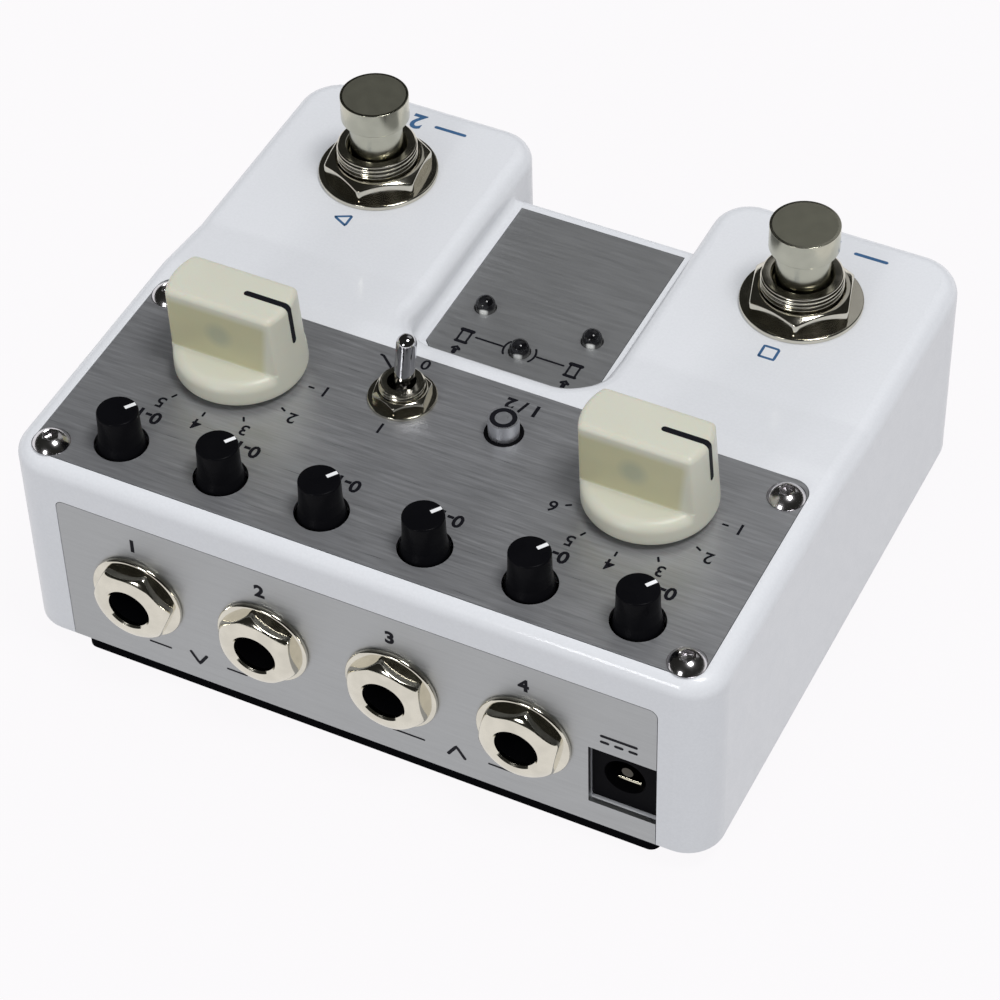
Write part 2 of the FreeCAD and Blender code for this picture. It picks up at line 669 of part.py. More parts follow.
def make_button_cap():
    """Button that slides in the plate's hole, kept in by a flange under the deck."""
    top, flange_top = deck + button_rise, deck_under - travel_gap
    flange_low = flange_top - button_flange_thickness
    cap = turned([(0, flange_low), (button_flange_radius, flange_low), (button_flange_radius, flange_top),
                  (button_radius, flange_top), (button_radius, top - 0.3), (button_radius - 0.3, top),
                  (0, top)], button_x, button_depth)
    return cap.fuse(post(button_stem_radius, button_x, button_depth,
                         control_board_top + button_travel + 1.2, flange_low))


def make_button_switch():
    """Push switch on the control board, with a well for the button's stem."""
    z0 = control_board_top
    z1 = deck_under - travel_gap - button_flange_thickness - button_travel - hole_gap
    body = centred(button_x, button_depth, button_switch_size, button_switch_size, z0, z1, 0.5)
    return body.cut(post(button_stem_radius + running_gap, button_x, button_depth, z0 + 1.0, z1 + 1))


def make_footswitch_body(side):
    """Momentary switch case under the lobe, with its threaded bushing and three solder tags."""
    x, depth, top = side * footswitch_x, footswitch_depth, lobe + footswitch_bushing_rise
    low = footswitch_floor
    body = centred(x, depth, footswitch_body_size, footswitch_body_size, low, lobe_under)
    body = body.fuse(post(footswitch_bushing_radius, x, depth, lobe_under - 1, top))
    for i in (-1, 0, 1):
        body = body.fuse(centred(x + i * footswitch_tag_pitch, depth, footswitch_tag_width,
                                 footswitch_tag_thickness, low - footswitch_tag_length, low + 0.5))
    chamber, bore = footswitch_collar_radius + hole_gap, footswitch_stem_radius + running_gap
    floor, shoulder = low + footswitch_floor_thickness, collar_top() + travel_gap
    return body.cut(turned([(0, floor), (chamber, floor), (chamber, shoulder), (bore, shoulder),
                            (bore, top - footswitch_mouth_depth), (footswitch_mouth_radius, top),
                            (footswitch_mouth_radius, top + 1), (0, top + 1)], x, depth))


def make_footswitch_washer(side):
    return ring(footswitch_washer_radius, footswitch_bushing_radius + hole_gap, side * footswitch_x,
                footswitch_depth, lobe, lobe + footswitch_washer_thickness)


def make_footswitch_nut(side, turn):
    return nut(footswitch_nut_flats, footswitch_bushing_radius + seat_gap, side * footswitch_x,
               footswitch_depth, lobe + footswitch_washer_thickness, footswitch_nut_thickness, turn)


def collar_top():
    """Top of the plunger's collar, which stops against the bushing's lower shoulder."""
    return lobe_under - 4.0


def make_footswitch_plunger(side):
    """Cap, stem and retaining collar that travel together."""
    x, top = side * footswitch_x, footswitch_top
    cap_low = top - footswitch_cap_height
    stop = collar_top()
    low = stop - footswitch_collar_height
    return turned([(0, low), (footswitch_collar_radius, low), (footswitch_collar_radius, stop),
                   (footswitch_stem_radius, stop), (footswitch_stem_radius, cap_low - footswitch_cap_taper),
                   (footswitch_cap_radius, cap_low), (footswitch_cap_radius, top - footswitch_cap_bevel),
                   (footswitch_cap_radius - footswitch_cap_bevel, top), (0, top)], x, footswitch_depth)


def make_spring(side):
    """Return spring between the switch floor and the plunger, wound from flat-sided wire."""
    low = footswitch_floor + footswitch_floor_thickness + seat_gap
    high = collar_top() - footswitch_collar_height - seat_gap
    rise, half = high - low - spring_wire, spring_wire / 2
    helix = Part.makeHelix(rise / spring_turns, rise, spring_radius)
    helix.translate(place(side * footswitch_x, footswitch_depth, low + half))
    begin = helix.Edges[0].valueAt(helix.Edges[0].FirstParameter)
    square = [Vec(-half, 0, -half), Vec(half, 0, -half), Vec(half, 0, half), Vec(-half, 0, half)]
    section = Part.makePolygon([begin + corner for corner in square + square[:1]])
    return Part.Wire(helix.Edges).makePipeShell([section], True, True)


def make_led(x, depth):
    """Domed lamp that stands on the board and shows through the plate."""
    low, top = control_board_top, middle + led_rise
    return turned([(0, low), (led_radius, low), (led_radius, top, led_radius - crown_flat), (0, top)],
                  x, depth)


def make_jack_body(x):
    """Moulded socket body on the main board with its threaded bushing through the jack face."""
    front, top = wall + 0.05, jack_z + jack_body_top
    back, half = front + jack_body_length, jack_body_width / 2
    body = block(x - half, x + half, front, back, main_board_top, top)
    upper_sides = [edge for edge in body.Edges if abs(edge.CenterOfMass.z - top) < 1e-4
                   and abs(abs(edge.CenterOfMass.x - x) - half) < 1e-4]
    body = body.makeChamfer(1.2, upper_sides)
    bushing_end = -jack_proud + jack_nut_lip + seat_gap
    body = body.fuse(barrel(jack_bushing_radius, x, jack_z, bushing_end, front + 1))
    for slot_depth in jack_slot_depths:
        for way in (-1, 1):
            body = body.cut(centred(x + way * half, slot_depth, 2 * jack_slot, jack_contact_width + 0.6,
                                    main_board_top - 1, top + 1))
    return body.cut(barrel(jack_bore_radius, x, jack_z, -reach, back - jack_end_wall))


def make_jack_contacts(x):
    """Four solder contacts that clip into the slots of a socket body and stand on the board."""
    from_side = jack_body_width / 2 - jack_slot / 2
    return [centred(x + way * from_side, slot_depth, jack_contact_thickness, jack_contact_width,
                    main_board_top, jack_z + jack_body_top - 2.0)
            for slot_depth in jack_slot_depths for way in (-1, 1)]


def make_jack_washer(x):
    return barrel(jack_washer_radius, x, jack_z, -jack_washer_thickness, 0).cut(
        barrel(jack_bushing_radius + hole_gap, x, jack_z, -reach, reach))


def make_jack_nut(x, turn):
    """Cap nut: hexagon with a sloping shoulder and a front lip round the plug's hole."""
    seat, front = -jack_washer_thickness, -jack_proud
    corner = jack_nut_flats / 2 / cos(radians(30))
    body = hexagon(jack_nut_flats, place(x, seat, jack_z), Y_AXIS, jack_nut_length, turn)
    body = body.common(turned_inwards([(0, seat), (corner, seat), (corner, seat - jack_nut_edge),
                                       (jack_nut_face_radius, front), (0, front)], x, jack_z))
    body = body.cut(barrel(jack_bushing_radius + seat_gap, x, jack_z, front + jack_nut_lip, reach))
    return body.cut(barrel(jack_bore_radius, x, jack_z, -reach, reach))


def make_dc_body():
    """Moulded power socket, its face set back in the plate's window."""
    front = dc_body_set_back
    half = dc_window_width / 2 - hole_gap
    body = block(dc_x - half, dc_x + half, front, front + dc_body_length, main_board_top,
                 rim + dc_window_high - hole_gap)
    dc_z = dc_axis_z()
    body = body.cut(barrel(dc_hole_radius, dc_x, dc_z, -reach, front + dc_hole_depth))
    body = body.cut(barrel(dc_pin_radius + seat_gap, dc_x, dc_z, 0, front + dc_body_length + 1))
    return body.cut(block(dc_x - 1.7, dc_x + 1.7, front + 2.0, front + dc_hole_depth,
                          dc_z - dc_hole_radius - 0.7, dc_z))


def dc_axis_z():
    """Height of the power socket's axis, in the upper half of its window."""
    return rim + (dc_window_low + dc_window_high) / 2 + 0.7


def make_dc_contacts():
    """Centre pin and the leaf spring under the plug."""
    front, z = dc_body_set_back, dc_axis_z()
    tip = front + dc_pin_set_back
    pin = turned_inwards([(0, tip), (dc_pin_radius - 0.3, tip), (dc_pin_radius, tip + 0.3),
                          (dc_pin_radius, front + dc_body_length), (0, front + dc_body_length)], dc_x, z)
    leaf = block(dc_x - 1.5, dc_x + 1.5, front + 2.2, front + dc_hole_depth - 0.2,
                 z - dc_hole_radius - 0.5, z - dc_hole_radius - 0.05)
    return [pin, leaf]


def make_main_board():
    """Main circuit board, notched round the bosses of the base screws."""
    board = block(-board_half, board_half, board_front, main_board_back, main_board_low, main_board_top)
    for x, depth in base_screw_spots:
        side = 1 if x > 0 else -1
        board = board.cut(block(x - side * (boss_radius + boss_gap), side * half_width,
                                depth - boss_radius - boss_gap, depth + boss_radius + boss_gap, 0, deck))
    return board


def make_control_board():
    """Board under the deck, with a tongue that carries the lamps."""
    board = block(-board_half, board_half, board_front, control_board_back, control_board_low,
                  control_board_top)
    return board.fuse(block(-tongue_width / 2, tongue_width / 2, control_board_back - 5, tongue_back,
                            control_board_low, control_board_top)).removeSplitter()


def make_standoffs():
    """Hexagon pillars that carry the upper board on the lower one."""
    tall = control_board_low - main_board_top
    spots = [(board_half - standoff_flats, control_board_back - 6.5),
             (tongue_width / 2 - standoff_flats, tongue_back - 15)]
    return [hexagon(standoff_flats, place(side * x, depth, main_board_top), Z_AXIS, tall)
            for side in (-1, 1) for x, depth in spots]


def make_board_link():
    """Pin header that joins the two boards, between the lamps and the switches."""
    mid = (main_board_top + control_board_low) / 2
    lower = block(-7.5, 7.5, 44.0, 49.0, main_board_top, mid, 0.4)
    upper = block(-6.5, 6.5, 44.8, 48.2, mid, control_board_low, 0.4)
    return lower.fuse(upper).removeSplitter()


def make_chips():
    """Signal processor, memory, converter and voltage regulator behind the sockets."""
    sizes = [(0.0, 12.0, 12.0, 1.5), (17.0, 7.6, 11.0, 1.2), (-17.0, 7.6, 7.6, 1.2), (-31.0, 6.6, 6.2, 2.2)]
    return [centred(x, chip_depth, wide, deep, main_board_top, main_board_top + tall)
            for x, wide, deep, tall in sizes]


def make_capacitors():
    """Two upright electrolytic cans and two moulded film capacitors."""
    z = main_board_top
    cans = [post(can_radius, side * can_x, capacitor_depth, z, z + can_height) for side in (-1, 1)]
    return cans + [centred(side * film_x, capacitor_depth, film_width, film_depth, z, z + film_height)
                   for side in (-1, 1)]


def make_ribbon(side):
    """Flat lead from its plug on the main board to the footswitch's tags."""
    x, z, bend = side * footswitch_x, main_board_top + 2.2, 2.0
    turn_depth, top = footswitch_depth + 1.4, footswitch_floor - 0.3
    mid_plug, thick, half = (lead_plug_front + lead_plug_back) / 2, lead_thickness, lead_width / 2
    corners = [(mid_plug, z), (turn_depth, z), (turn_depth, top), (turn_depth - thick, top),
               (turn_depth - thick, z + thick), (mid_plug, z + thick)]
    wire = rounded_loop([place(x - half, d, h) for d, h in corners], [0, bend + thick, 0, 0, bend, 0])
    lead = Part.Face(wire).extrude(Vec(lead_width, 0, 0))
    plug = block(x - half - 0.6, x + half + 0.6, lead_plug_front, lead_plug_back, main_board_top,
                 z + thick + 1.4, 0.3)
    return plug.fuse(lead)


def build():
    save("casing", make_casing())
    save("control_plate", make_control_plate())
    save("jack_plate", make_jack_plate())
    save("led_plate", make_led_plate())
    save("base_plate", make_base_plate())
    save("rubber_sole", make_sole())
    save("control_plate_screws", [make_button_screw(x, d) for x, d in plate_screw_spots])
    save("base_plate_screws", [make_base_screw(x, d) for x, d in base_screw_spots])
    save("main_board", make_main_board())
    save("control_board", make_control_board())
    save("board_standoffs", make_standoffs())
    save("board_link", make_board_link())
    save("main_board_chips", make_chips())
    save("main_board_capacitors", make_capacitors())
    save("footswitch_leads", [make_ribbon(s) for s in (-1, 1)])
    for i, x in enumerate(jack_xs):
        save("jack_socket_%d" % (i + 1), make_jack_body(x))
    save("jack_contacts", [piece for x in jack_xs for piece in make_jack_contacts(x)])
    save("jack_washers", [make_jack_washer(x) for x in jack_xs])
    save("jack_nuts", [make_jack_nut(x, turn) for x, turn in zip(jack_xs, jack_nut_turns)])
    save("dc_socket", make_dc_body())
    save("dc_socket_contacts", make_dc_contacts())
    for side, name in ((-1, "left"), (1, "right")):
        save(name + "_footswitch_body", make_footswitch_body(side))
        save(name + "_footswitch_plunger", make_footswitch_plunger(side))
        save(name + "_footswitch_spring", make_spring(side))
        save(name + "_selector_knob", make_selector_knob(side))
        save(name + "_selector_shaft", make_selector_shaft(side))
    save("footswitch_washers", [make_footswitch_washer(s) for s in (-1, 1)])
    save("footswitch_nuts", [make_footswitch_nut(s, turn) for s, turn in ((-1, 57), (1, 12))])
    save("selector_switches", [make_selector_body(s) for s in (-1, 1)])
    save("selector_nuts", [make_selector_nut(s) for s in (-1, 1)])
    for i, x in enumerate(knob_xs):
        save("small_knob_%d" % (i + 1), make_small_knob(x))
    save("potentiometers", [make_pot_body(x) for x in knob_xs])
    save("toggle_switch_body", make_toggle_body())
    save("toggle_lever", make_toggle_lever())
    save("toggle_washer", make_toggle_washer())
    save("toggle_nut", make_toggle_nut())
    save("push_button_cap", make_button_cap())
    save("push_button_switch", make_button_switch())
    save("status_leds", [make_led(x, depth) for x, depth in led_spots])


build()
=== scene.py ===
"""Looks of the twin-footswitch delay pedal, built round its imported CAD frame.

Sizes in the property groups are metres.  The frame's +X is the player's right, -Y faces the player
and the jacks are on +Y.  Every new piece is a surface worked out as whole arrays, and its place is
in its mesh.
"""
import json

import bmesh
import bpy
import numpy as np
from mathutils import Euler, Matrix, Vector


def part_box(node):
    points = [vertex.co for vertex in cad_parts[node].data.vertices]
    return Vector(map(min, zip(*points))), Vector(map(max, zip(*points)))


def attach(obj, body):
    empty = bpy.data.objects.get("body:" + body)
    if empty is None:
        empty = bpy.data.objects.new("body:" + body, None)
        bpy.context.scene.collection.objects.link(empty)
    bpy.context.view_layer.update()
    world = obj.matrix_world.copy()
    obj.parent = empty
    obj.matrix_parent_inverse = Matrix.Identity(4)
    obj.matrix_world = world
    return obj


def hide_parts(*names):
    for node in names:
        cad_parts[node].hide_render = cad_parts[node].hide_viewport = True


bl_info = {
    "name": "Delay pedal",
    "version": (1, 0, 0),
    "blender": (4, 5, 0),
    "location": "3D View > Sidebar > Pedal",
    "description": "Finishes, hardware, printing and studio for a twin-footswitch pedal",
    "category": "Object",
}

MM = 0.001
FINISH = "pedal_"
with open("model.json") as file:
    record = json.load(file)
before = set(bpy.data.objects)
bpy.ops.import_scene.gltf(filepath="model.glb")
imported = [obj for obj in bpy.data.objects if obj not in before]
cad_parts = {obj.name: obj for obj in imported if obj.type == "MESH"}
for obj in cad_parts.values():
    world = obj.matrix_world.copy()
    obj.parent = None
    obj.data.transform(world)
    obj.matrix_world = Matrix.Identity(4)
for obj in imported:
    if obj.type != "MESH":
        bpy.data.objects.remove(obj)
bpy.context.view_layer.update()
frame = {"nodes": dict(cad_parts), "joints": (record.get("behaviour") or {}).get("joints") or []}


def level(node, high=True):
    """Height of a CAD node's top or underside."""
    low_corner, high_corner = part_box(node)
    return high_corner.z if high else low_corner.z


def middle_of(node):
    """Centre of a CAD node's box as an array."""
    low_corner, high_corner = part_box(node)
    return np.array((low_corner + high_corner) / 2)


DECK = level("control_plate")
MIDDLE = level("led_plate")
LOBE = level("footswitch_washers", high=False)
JACK_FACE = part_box("jack_plate")[1].y
SIDES = ("left", "right")
LAMP_RADIUS = 1.5 * MM
SHARP_EDGE = 38.0  # degrees
DIGIT_SHARE = 0.7  # a digit's height over the size of its text


def length(name, millimetres, description):
    """A length property with its default in millimetres."""
    return bpy.props.FloatProperty(name=name, description=description, default=millimetres * MM,
                                   subtype="DISTANCE", unit="LENGTH", precision=5)


def tint(name, colour, description):
    """A colour property."""
    return bpy.props.FloatVectorProperty(name=name, description=description, default=colour,
                                         subtype="COLOR", size=3, min=0.0, max=1.0)


class PedalColours(bpy.types.PropertyGroup):
    """Colours of the pedal's finishes."""
    paint: tint("Paint", (0.79, 0.80, 0.82), "Gloss white of the casting")
    panel: tint("Control plate", (0.47, 0.475, 0.49), "Brushed plate on the deck")
    jack_panel: tint("Jack plate", (0.42, 0.43, 0.435), "Brushed plate on the jack face")
    light_panel: tint("Light plate", (0.43, 0.435, 0.44), "Brushed plate between the lobes")
    nickel: tint("Nickel", (0.70, 0.67, 0.58), "Nuts, washers and bushings")
    cap: tint("Switch cap", (0.53, 0.52, 0.43), "Caps of the footswitches")
    chrome: tint("Chrome", (0.60, 0.60, 0.62), "Toggle lever")
    screw: tint("Screw steel", (0.72, 0.70, 0.72), "Screws in the control plate")
    cream: tint("Cream plastic", (0.645, 0.64, 0.53), "Selector knobs")
    cream_flat: tint("Cream in the thick", (0.54, 0.52, 0.335), "Selector flats seen through the plastic")
    cream_core: tint("Insert behind cream", (0.38, 0.40, 0.30), "Metal insert that shows dimly in the flats")
    black: tint("Black plastic", (0.004, 0.004, 0.005), "Small knobs and sockets")
    rubber: tint("Rubber", (0.003, 0.003, 0.004), "Sole")
    button: tint("Button metal", (0.74, 0.75, 0.79), "Push button")
    ink: tint("Dark ink", (0.008, 0.008, 0.012), "Printing on the plates")
    blue_ink: tint("Blue ink", (0.045, 0.13, 0.27), "Printing on the lobes")
    white_ink: tint("White ink", (0.86, 0.86, 0.86), "Pointer lines")


class HardwareSizes(bpy.types.PropertyGroup):
    """Sizes of nuts, threads and caps that the CAD leaves plain."""
    footswitch_nut: length("Footswitch nut", 14.4, "Across flats")
    footswitch_nut_height: length("Footswitch nut height", 2.5, "Along the bushing")
    footswitch_washer: length("Footswitch washer", 9.1, "Radius")
    footswitch_washer_height: length("Footswitch washer height", 0.8, "Thickness")
    footswitch_bushing: length("Footswitch bushing", 5.85, "Radius at the thread's root")
    footswitch_pitch: length("Footswitch thread", 0.75, "Pitch")
    footswitch_mouth: length("Footswitch mouth", 4.4, "Radius of the ring round the stem")
    stem: length("Stem", 4.0, "Radius of a footswitch stem")
    cap: length("Cap", 5.15, "Radius of a footswitch cap")
    cap_height: length("Cap height", 4.1, "Height of a footswitch cap over its stem")
    cap_round: length("Cap edge", 0.38, "Rounding of a footswitch cap")
    toggle_nut: length("Toggle nut", 7.6, "Across flats")
    toggle_nut_height: length("Toggle nut height", 1.5, "Along the bushing")
    toggle_bushing: length("Toggle bushing", 3.15, "Radius at the thread's root")
    toggle_pitch: length("Toggle thread", 0.6, "Pitch")
    lever: length("Lever", 1.48, "Radius of the toggle lever")
    lever_reach: length("Lever reach", 10.15, "From the lever's pivot to its tip")
    button: length("Button", 2.25, "Radius of the push button")
    jack_nut: length("Jack nut", 11.4, "Across flats")
    jack_nut_height: length("Jack nut height", 2.4, "From the washer to the front")
    jack_washer: length("Jack washer", 7.15, "Radius")
    jack_bore: length("Jack bore", 3.2, "Radius of a phone jack's hole")
    socket: length("Socket", 2.0, "Hexagon socket of a plate screw, across flats")
    screw_head: length("Screw head", 2.75, "Radius of a plate screw's head")
    selector: length("Selector", 9.6, "Radius of a selector knob's foot")
    selector_top: length("Selector top", 9.25, "Radius of a selector knob's top")
    selector_lean: length("Selector lean", 0.7, "How far the top stands back from the nose")
    selector_bar: length("Finger bar", 8.6, "Width of a selector's finger bar")
    selector_ledge: length("Ledge", 4.5, "From the plate to the ledges beside the bar")
    selector_round: length("Selector edge", 0.9, "Rounding of a selector's top edge")


class MarkSizes(bpy.types.PropertyGroup):
    """Sizes of printed marks and pointer lines."""
    film: length("Film", 0.02, "Thickness of printing over its surface")
    digit: length("Digit", 2.2, "Height of the plates' numbers")
    line: length("Line", 0.34, "Width of printed lines")
    pointer: length("Pointer", 0.6, "Width of a small knob's pointer")
    index: length("Index", 0.95, "Width of a selector's line")


class StudioSettings(bpy.types.PropertyGroup):
    """Camera and light."""
    place: bpy.props.FloatVectorProperty(
        name="Camera place", description="Where the camera stands", default=(-0.16805, 0.32474, 0.38569),
        subtype="TRANSLATION", unit="LENGTH", size=3)
    turn: bpy.props.FloatVectorProperty(
        name="Camera turn", description="Turn about X, Y and Z", default=(0.77056, 0.02056, -2.68597),
        subtype="EULER", unit="ROTATION", size=3)
    lens: bpy.props.FloatProperty(name="Lens", description="Focal length in millimetres on a 36 mm frame",
                                  default=127.276)
    sky: bpy.props.FloatProperty(name="Sky", description="Strength of the even light", default=0.56)
    key: bpy.props.FloatProperty(name="Key", description="Power of the softbox overhead", default=5.0,
                                 unit="POWER")
    fill: bpy.props.FloatProperty(name="Fill", description="Power of the softbox before the jacks",
                                  default=1.7, unit="POWER")


def sizes():
    return bpy.context.scene.pedal_hardware


def marks():
    return bpy.context.scene.pedal_marks


def colours():
    return bpy.context.scene.pedal_colours


def new_object(name, data):
    """Object for a mesh, text, lamp or camera, linked to the scene."""
    thing = bpy.data.objects.new(name, data)
    bpy.context.scene.collection.objects.link(thing)
    return thing


def ring_faces(count, columns, wrap=False):
    """Four-sided faces between rings that follow each other; wrap joins the last ring to the first."""
    index = np.arange(count * columns).reshape(count, columns)
    onward = np.roll(index, -1, axis=1)
    corners = np.stack([index, onward, np.roll(onward, -1, axis=0), np.roll(index, -1, axis=0)], axis=-1)
    return corners[:count if wrap else count - 1].reshape(-1, 4)


def skin(name, rings, material, wrap=False):
    """Mesh over rings of points: each ring is joined to the next and round to its own start.

    An end ring that has shrunk to the axis becomes one pole, wrap joins the last ring to the first,
    and the faces are turned outwards by the sign of the volume that they hold.
    """
    count, columns, _ = rings.shape
    corners = rings.reshape(-1, 3)
    quads = ring_faces(count, columns, wrap)
    a, b, c, d = (corners[quads[:, k]] for k in range(4))
    volume = np.einsum("ij,ij->", a, np.cross(b, c)) + np.einsum("ij,ij->", a, np.cross(c, d))
    ends = [] if wrap else [np.arange(columns)[::-1], np.arange(columns) + (count - 1) * columns]
    for end in ends:
        centre = corners[end].mean(axis=0)
        first, second = corners[end] - centre, corners[np.roll(end, -1)] - centre
        volume += np.einsum("ij,ij->", np.broadcast_to(centre, first.shape), np.cross(first, second))
    order = 1 if volume > 0 else -1
    mesh = bpy.data.meshes.new(name)
    mesh.from_pydata(corners.tolist(), [],
                     [face[::order] for face in quads.tolist() + [end.tolist() for end in ends]])
    tidy_mesh(mesh)
    mesh.materials.append(bpy.data.materials[FINISH + material])
    return new_object(name, mesh)


def tidy_mesh(mesh):
    """Merge points that coincide, drop faces without area, and shade smooth but for sharp edges."""
    work = bmesh.new()
    work.from_mesh(mesh)
    bmesh.ops.remove_doubles(work, verts=work.verts, dist=1e-7)
    bmesh.ops.dissolve_degenerate(work, edges=work.edges, dist=1e-8)
    work.to_mesh(mesh)
    work.free()
    mesh.shade_smooth()
    mesh.set_sharp_from_angle(angle=np.radians(SHARP_EDGE))


def rounded(points, radii, steps=6):
    """Profile through points with each corner replaced by an arc that touches both its sides."""
    points = np.asarray(points, float)
    profile = [points[:1]]
    for before, corner, after, radius in zip(points, points[1:], points[2:], radii):
        if radius <= 0:
            profile.append(corner[None])
            continue
        back, ahead = before - corner, after - corner
        back, ahead = back / np.linalg.norm(back), ahead / np.linalg.norm(ahead)
        half = np.arccos(np.clip(back @ ahead, -1, 1)) / 2
        centre = corner + (back + ahead) / np.linalg.norm(back + ahead) * radius / np.sin(half)
        start = corner + back * radius / np.tan(half) - centre
        end = corner + ahead * radius / np.tan(half) - centre
        t = np.linspace(0, 1, steps)[:, None]
        arc = start * (1 - t) + end * t
        profile.append(centre + arc / np.linalg.norm(arc, axis=1, keepdims=True) * radius)
    profile.append(points[-1:])
    return np.concatenate(profile)


def around(columns):
    """Angles of one turn without its end."""
    return np.linspace(0, 2 * np.pi, columns, endpoint=False)


def polar(reach, angle, height):
    """Points at a reach and a direction from the axis, and at a height."""
    across, forward = reach * np.cos(angle), reach * np.sin(angle)
    return np.stack([across, forward, np.broadcast_to(height, across.shape)], axis=-1)


def spun(profile, columns=72):
    """Rings of a surface of revolution: each profile point (radius, height) goes once round the axis."""
    profile = np.asarray(profile, float)
    return polar(profile[:, :1], around(columns), profile[:, 1:])


def stand(rings, centre):
    """Local rings, axis up, moved to a place."""
    return rings + np.asarray(centre, float)


def face_out(rings, centre):
    """Local rings turned so that their axis points out of the jack face, then moved to a place."""
    return np.stack([-rings[..., 0], rings[..., 2], rings[..., 1]], axis=-1) + np.asarray(centre, float)


def soft_least(*reaches, sharpness=70.0):
    """Soft smallest of several reaches: the power mean with a large negative power rounds their meeting."""
    least = np.minimum.reduce(np.broadcast_arrays(*reaches))
    return least * sum((least / reach) ** sharpness for reach in reaches) ** (-1.0 / sharpness)


def hexagon_reach(angle, flats, turn, sharpness=90.0):
    """Distance from the axis to a hexagon with softened corners, by direction."""
    towards = angle[None] - np.radians(turn + 30 + 60 * np.arange(6))[:, None]
    facing = np.maximum(np.cos(towards), 1e-3)
    return flats / 2 * (facing ** sharpness).sum(axis=0) ** (-1.0 / sharpness)

def turned(name, profile, x, y, material, columns=72, wrap=False):
    """Turned piece about an upright axis, its profile's heights being the frame's own."""
    return skin(name, stand(spun(profile, columns), (x, y, 0)), material, wrap)


def nut_rings(flats, bore, height, turn, limits, rows=22, columns=144, chamfer=0.25 * MM):
    """Rings of a nut: at every height the reach is the soft smallest of its hexagon and of its limits,
    each of which gives the radius of a turned end by height."""
    angle = around(columns)
    z = height * np.sin(np.linspace(0, np.pi / 2, rows)) ** 0.9
    reach = soft_least(hexagon_reach(angle, flats, turn)[None], *[limit(z)[:, None] for limit in limits])
    return np.concatenate([spun([(bore, 0.0)], columns), polar(reach, angle, z[:, None]),
                           spun([(bore + chamfer, height), (bore, height - chamfer)], columns)])


def machined_nut(flats, bore, height, turn, face):
    """Rings of a hexagon nut with a cone at each end: the upper one leaves a round face, given as a
    share of the flats, and the lower one only breaks the corners."""
    corner = flats / 2 / np.cos(np.pi / 6)
    return nut_rings(flats, bore, height, turn, [lambda z: flats / 2 * face + (height - z) * 1.75,
                                                 lambda z: corner * 0.985 + z * 1.5])


def sleeve_rings(root, crest, inner, low, high, pitch, columns=96, rows=64, lip=0.1 * MM):
    """Rings of a threaded sleeve: the radius rises and falls with the distance from a helix, both ends
    run out in a short cone, and the mouth has a small bevel."""
    angle = around(columns)
    z = np.linspace(low, high, rows)[:, None]
    phase = np.mod(z / pitch - angle / (2 * np.pi), 1.0)
    ridge = 1 - np.abs(2 * phase - 1)
    ridge = ridge * ridge * (3 - 2 * ridge)
    to_end = np.minimum(high - z, z - low)
    reach = np.minimum(root + (crest - root) * ridge, root - 0.1 * MM + 1.2 * to_end)
    mouth = rounded([(root, high), (inner + lip, high), (inner, high - lip), (inner, high - 3 * lip)],
                    [lip * 0.5, lip * 0.5], 5)[1:]
    return np.concatenate([spun([(inner, low)], columns), polar(reach, angle, z), spun(mouth, columns)])


def washer_rings(outer, inner, height, edge, columns=96):
    """Rings of a flat washer with rounded outer edges."""
    profile = rounded([(inner, 0), (outer, 0), (outer, height), (inner, height)], [edge * 0.6, edge])
    return spun(profile, columns)


def run_along(path):
    """Distance along a polyline at each of its points."""
    return np.concatenate([[0.0], np.cumsum(np.linalg.norm(np.diff(path, axis=0), axis=1))])


def headings(path):
    """Unit direction of a path at each of its points."""
    direction = np.gradient(path, axis=0)
    return direction / np.linalg.norm(direction, axis=1, keepdims=True)


def ribbon_rings(path, normals, width, thick, sideways, ends=1.0):
    """Rings of a flat strip: four corners about each path point, the half width closing as a half
    circle over the first and last half width, or not at all where ends is 0."""
    run = run_along(path)
    to_end = np.minimum(run, run[-1] - run) / (width / 2)
    half = width / 2 * np.sqrt(np.clip(1 - ends * (1 - np.clip(to_end, 0.0, 1.0)) ** 2, 1e-3, 1))
    across, up = sideways * half[:, None], normals * thick
    return np.stack([path - across, path + across, path + across + up, path - across + up], axis=1)


def dense(path, spacing, width):
    """A flat polyline resampled evenly, with extra points near both ends for their round caps."""
    path = np.asarray(path, float)
    run = run_along(path)
    total = run[-1]
    cap = width / 2 * (1 - np.cos(np.linspace(0, np.pi / 2, 6)))
    body = np.linspace(width / 2, total - width / 2, max(2, int(total / spacing)))
    at = np.unique(np.concatenate([cap, body, run[1:-1], total - cap]))
    return np.column_stack([np.interp(at, run, column) for column in path.T])


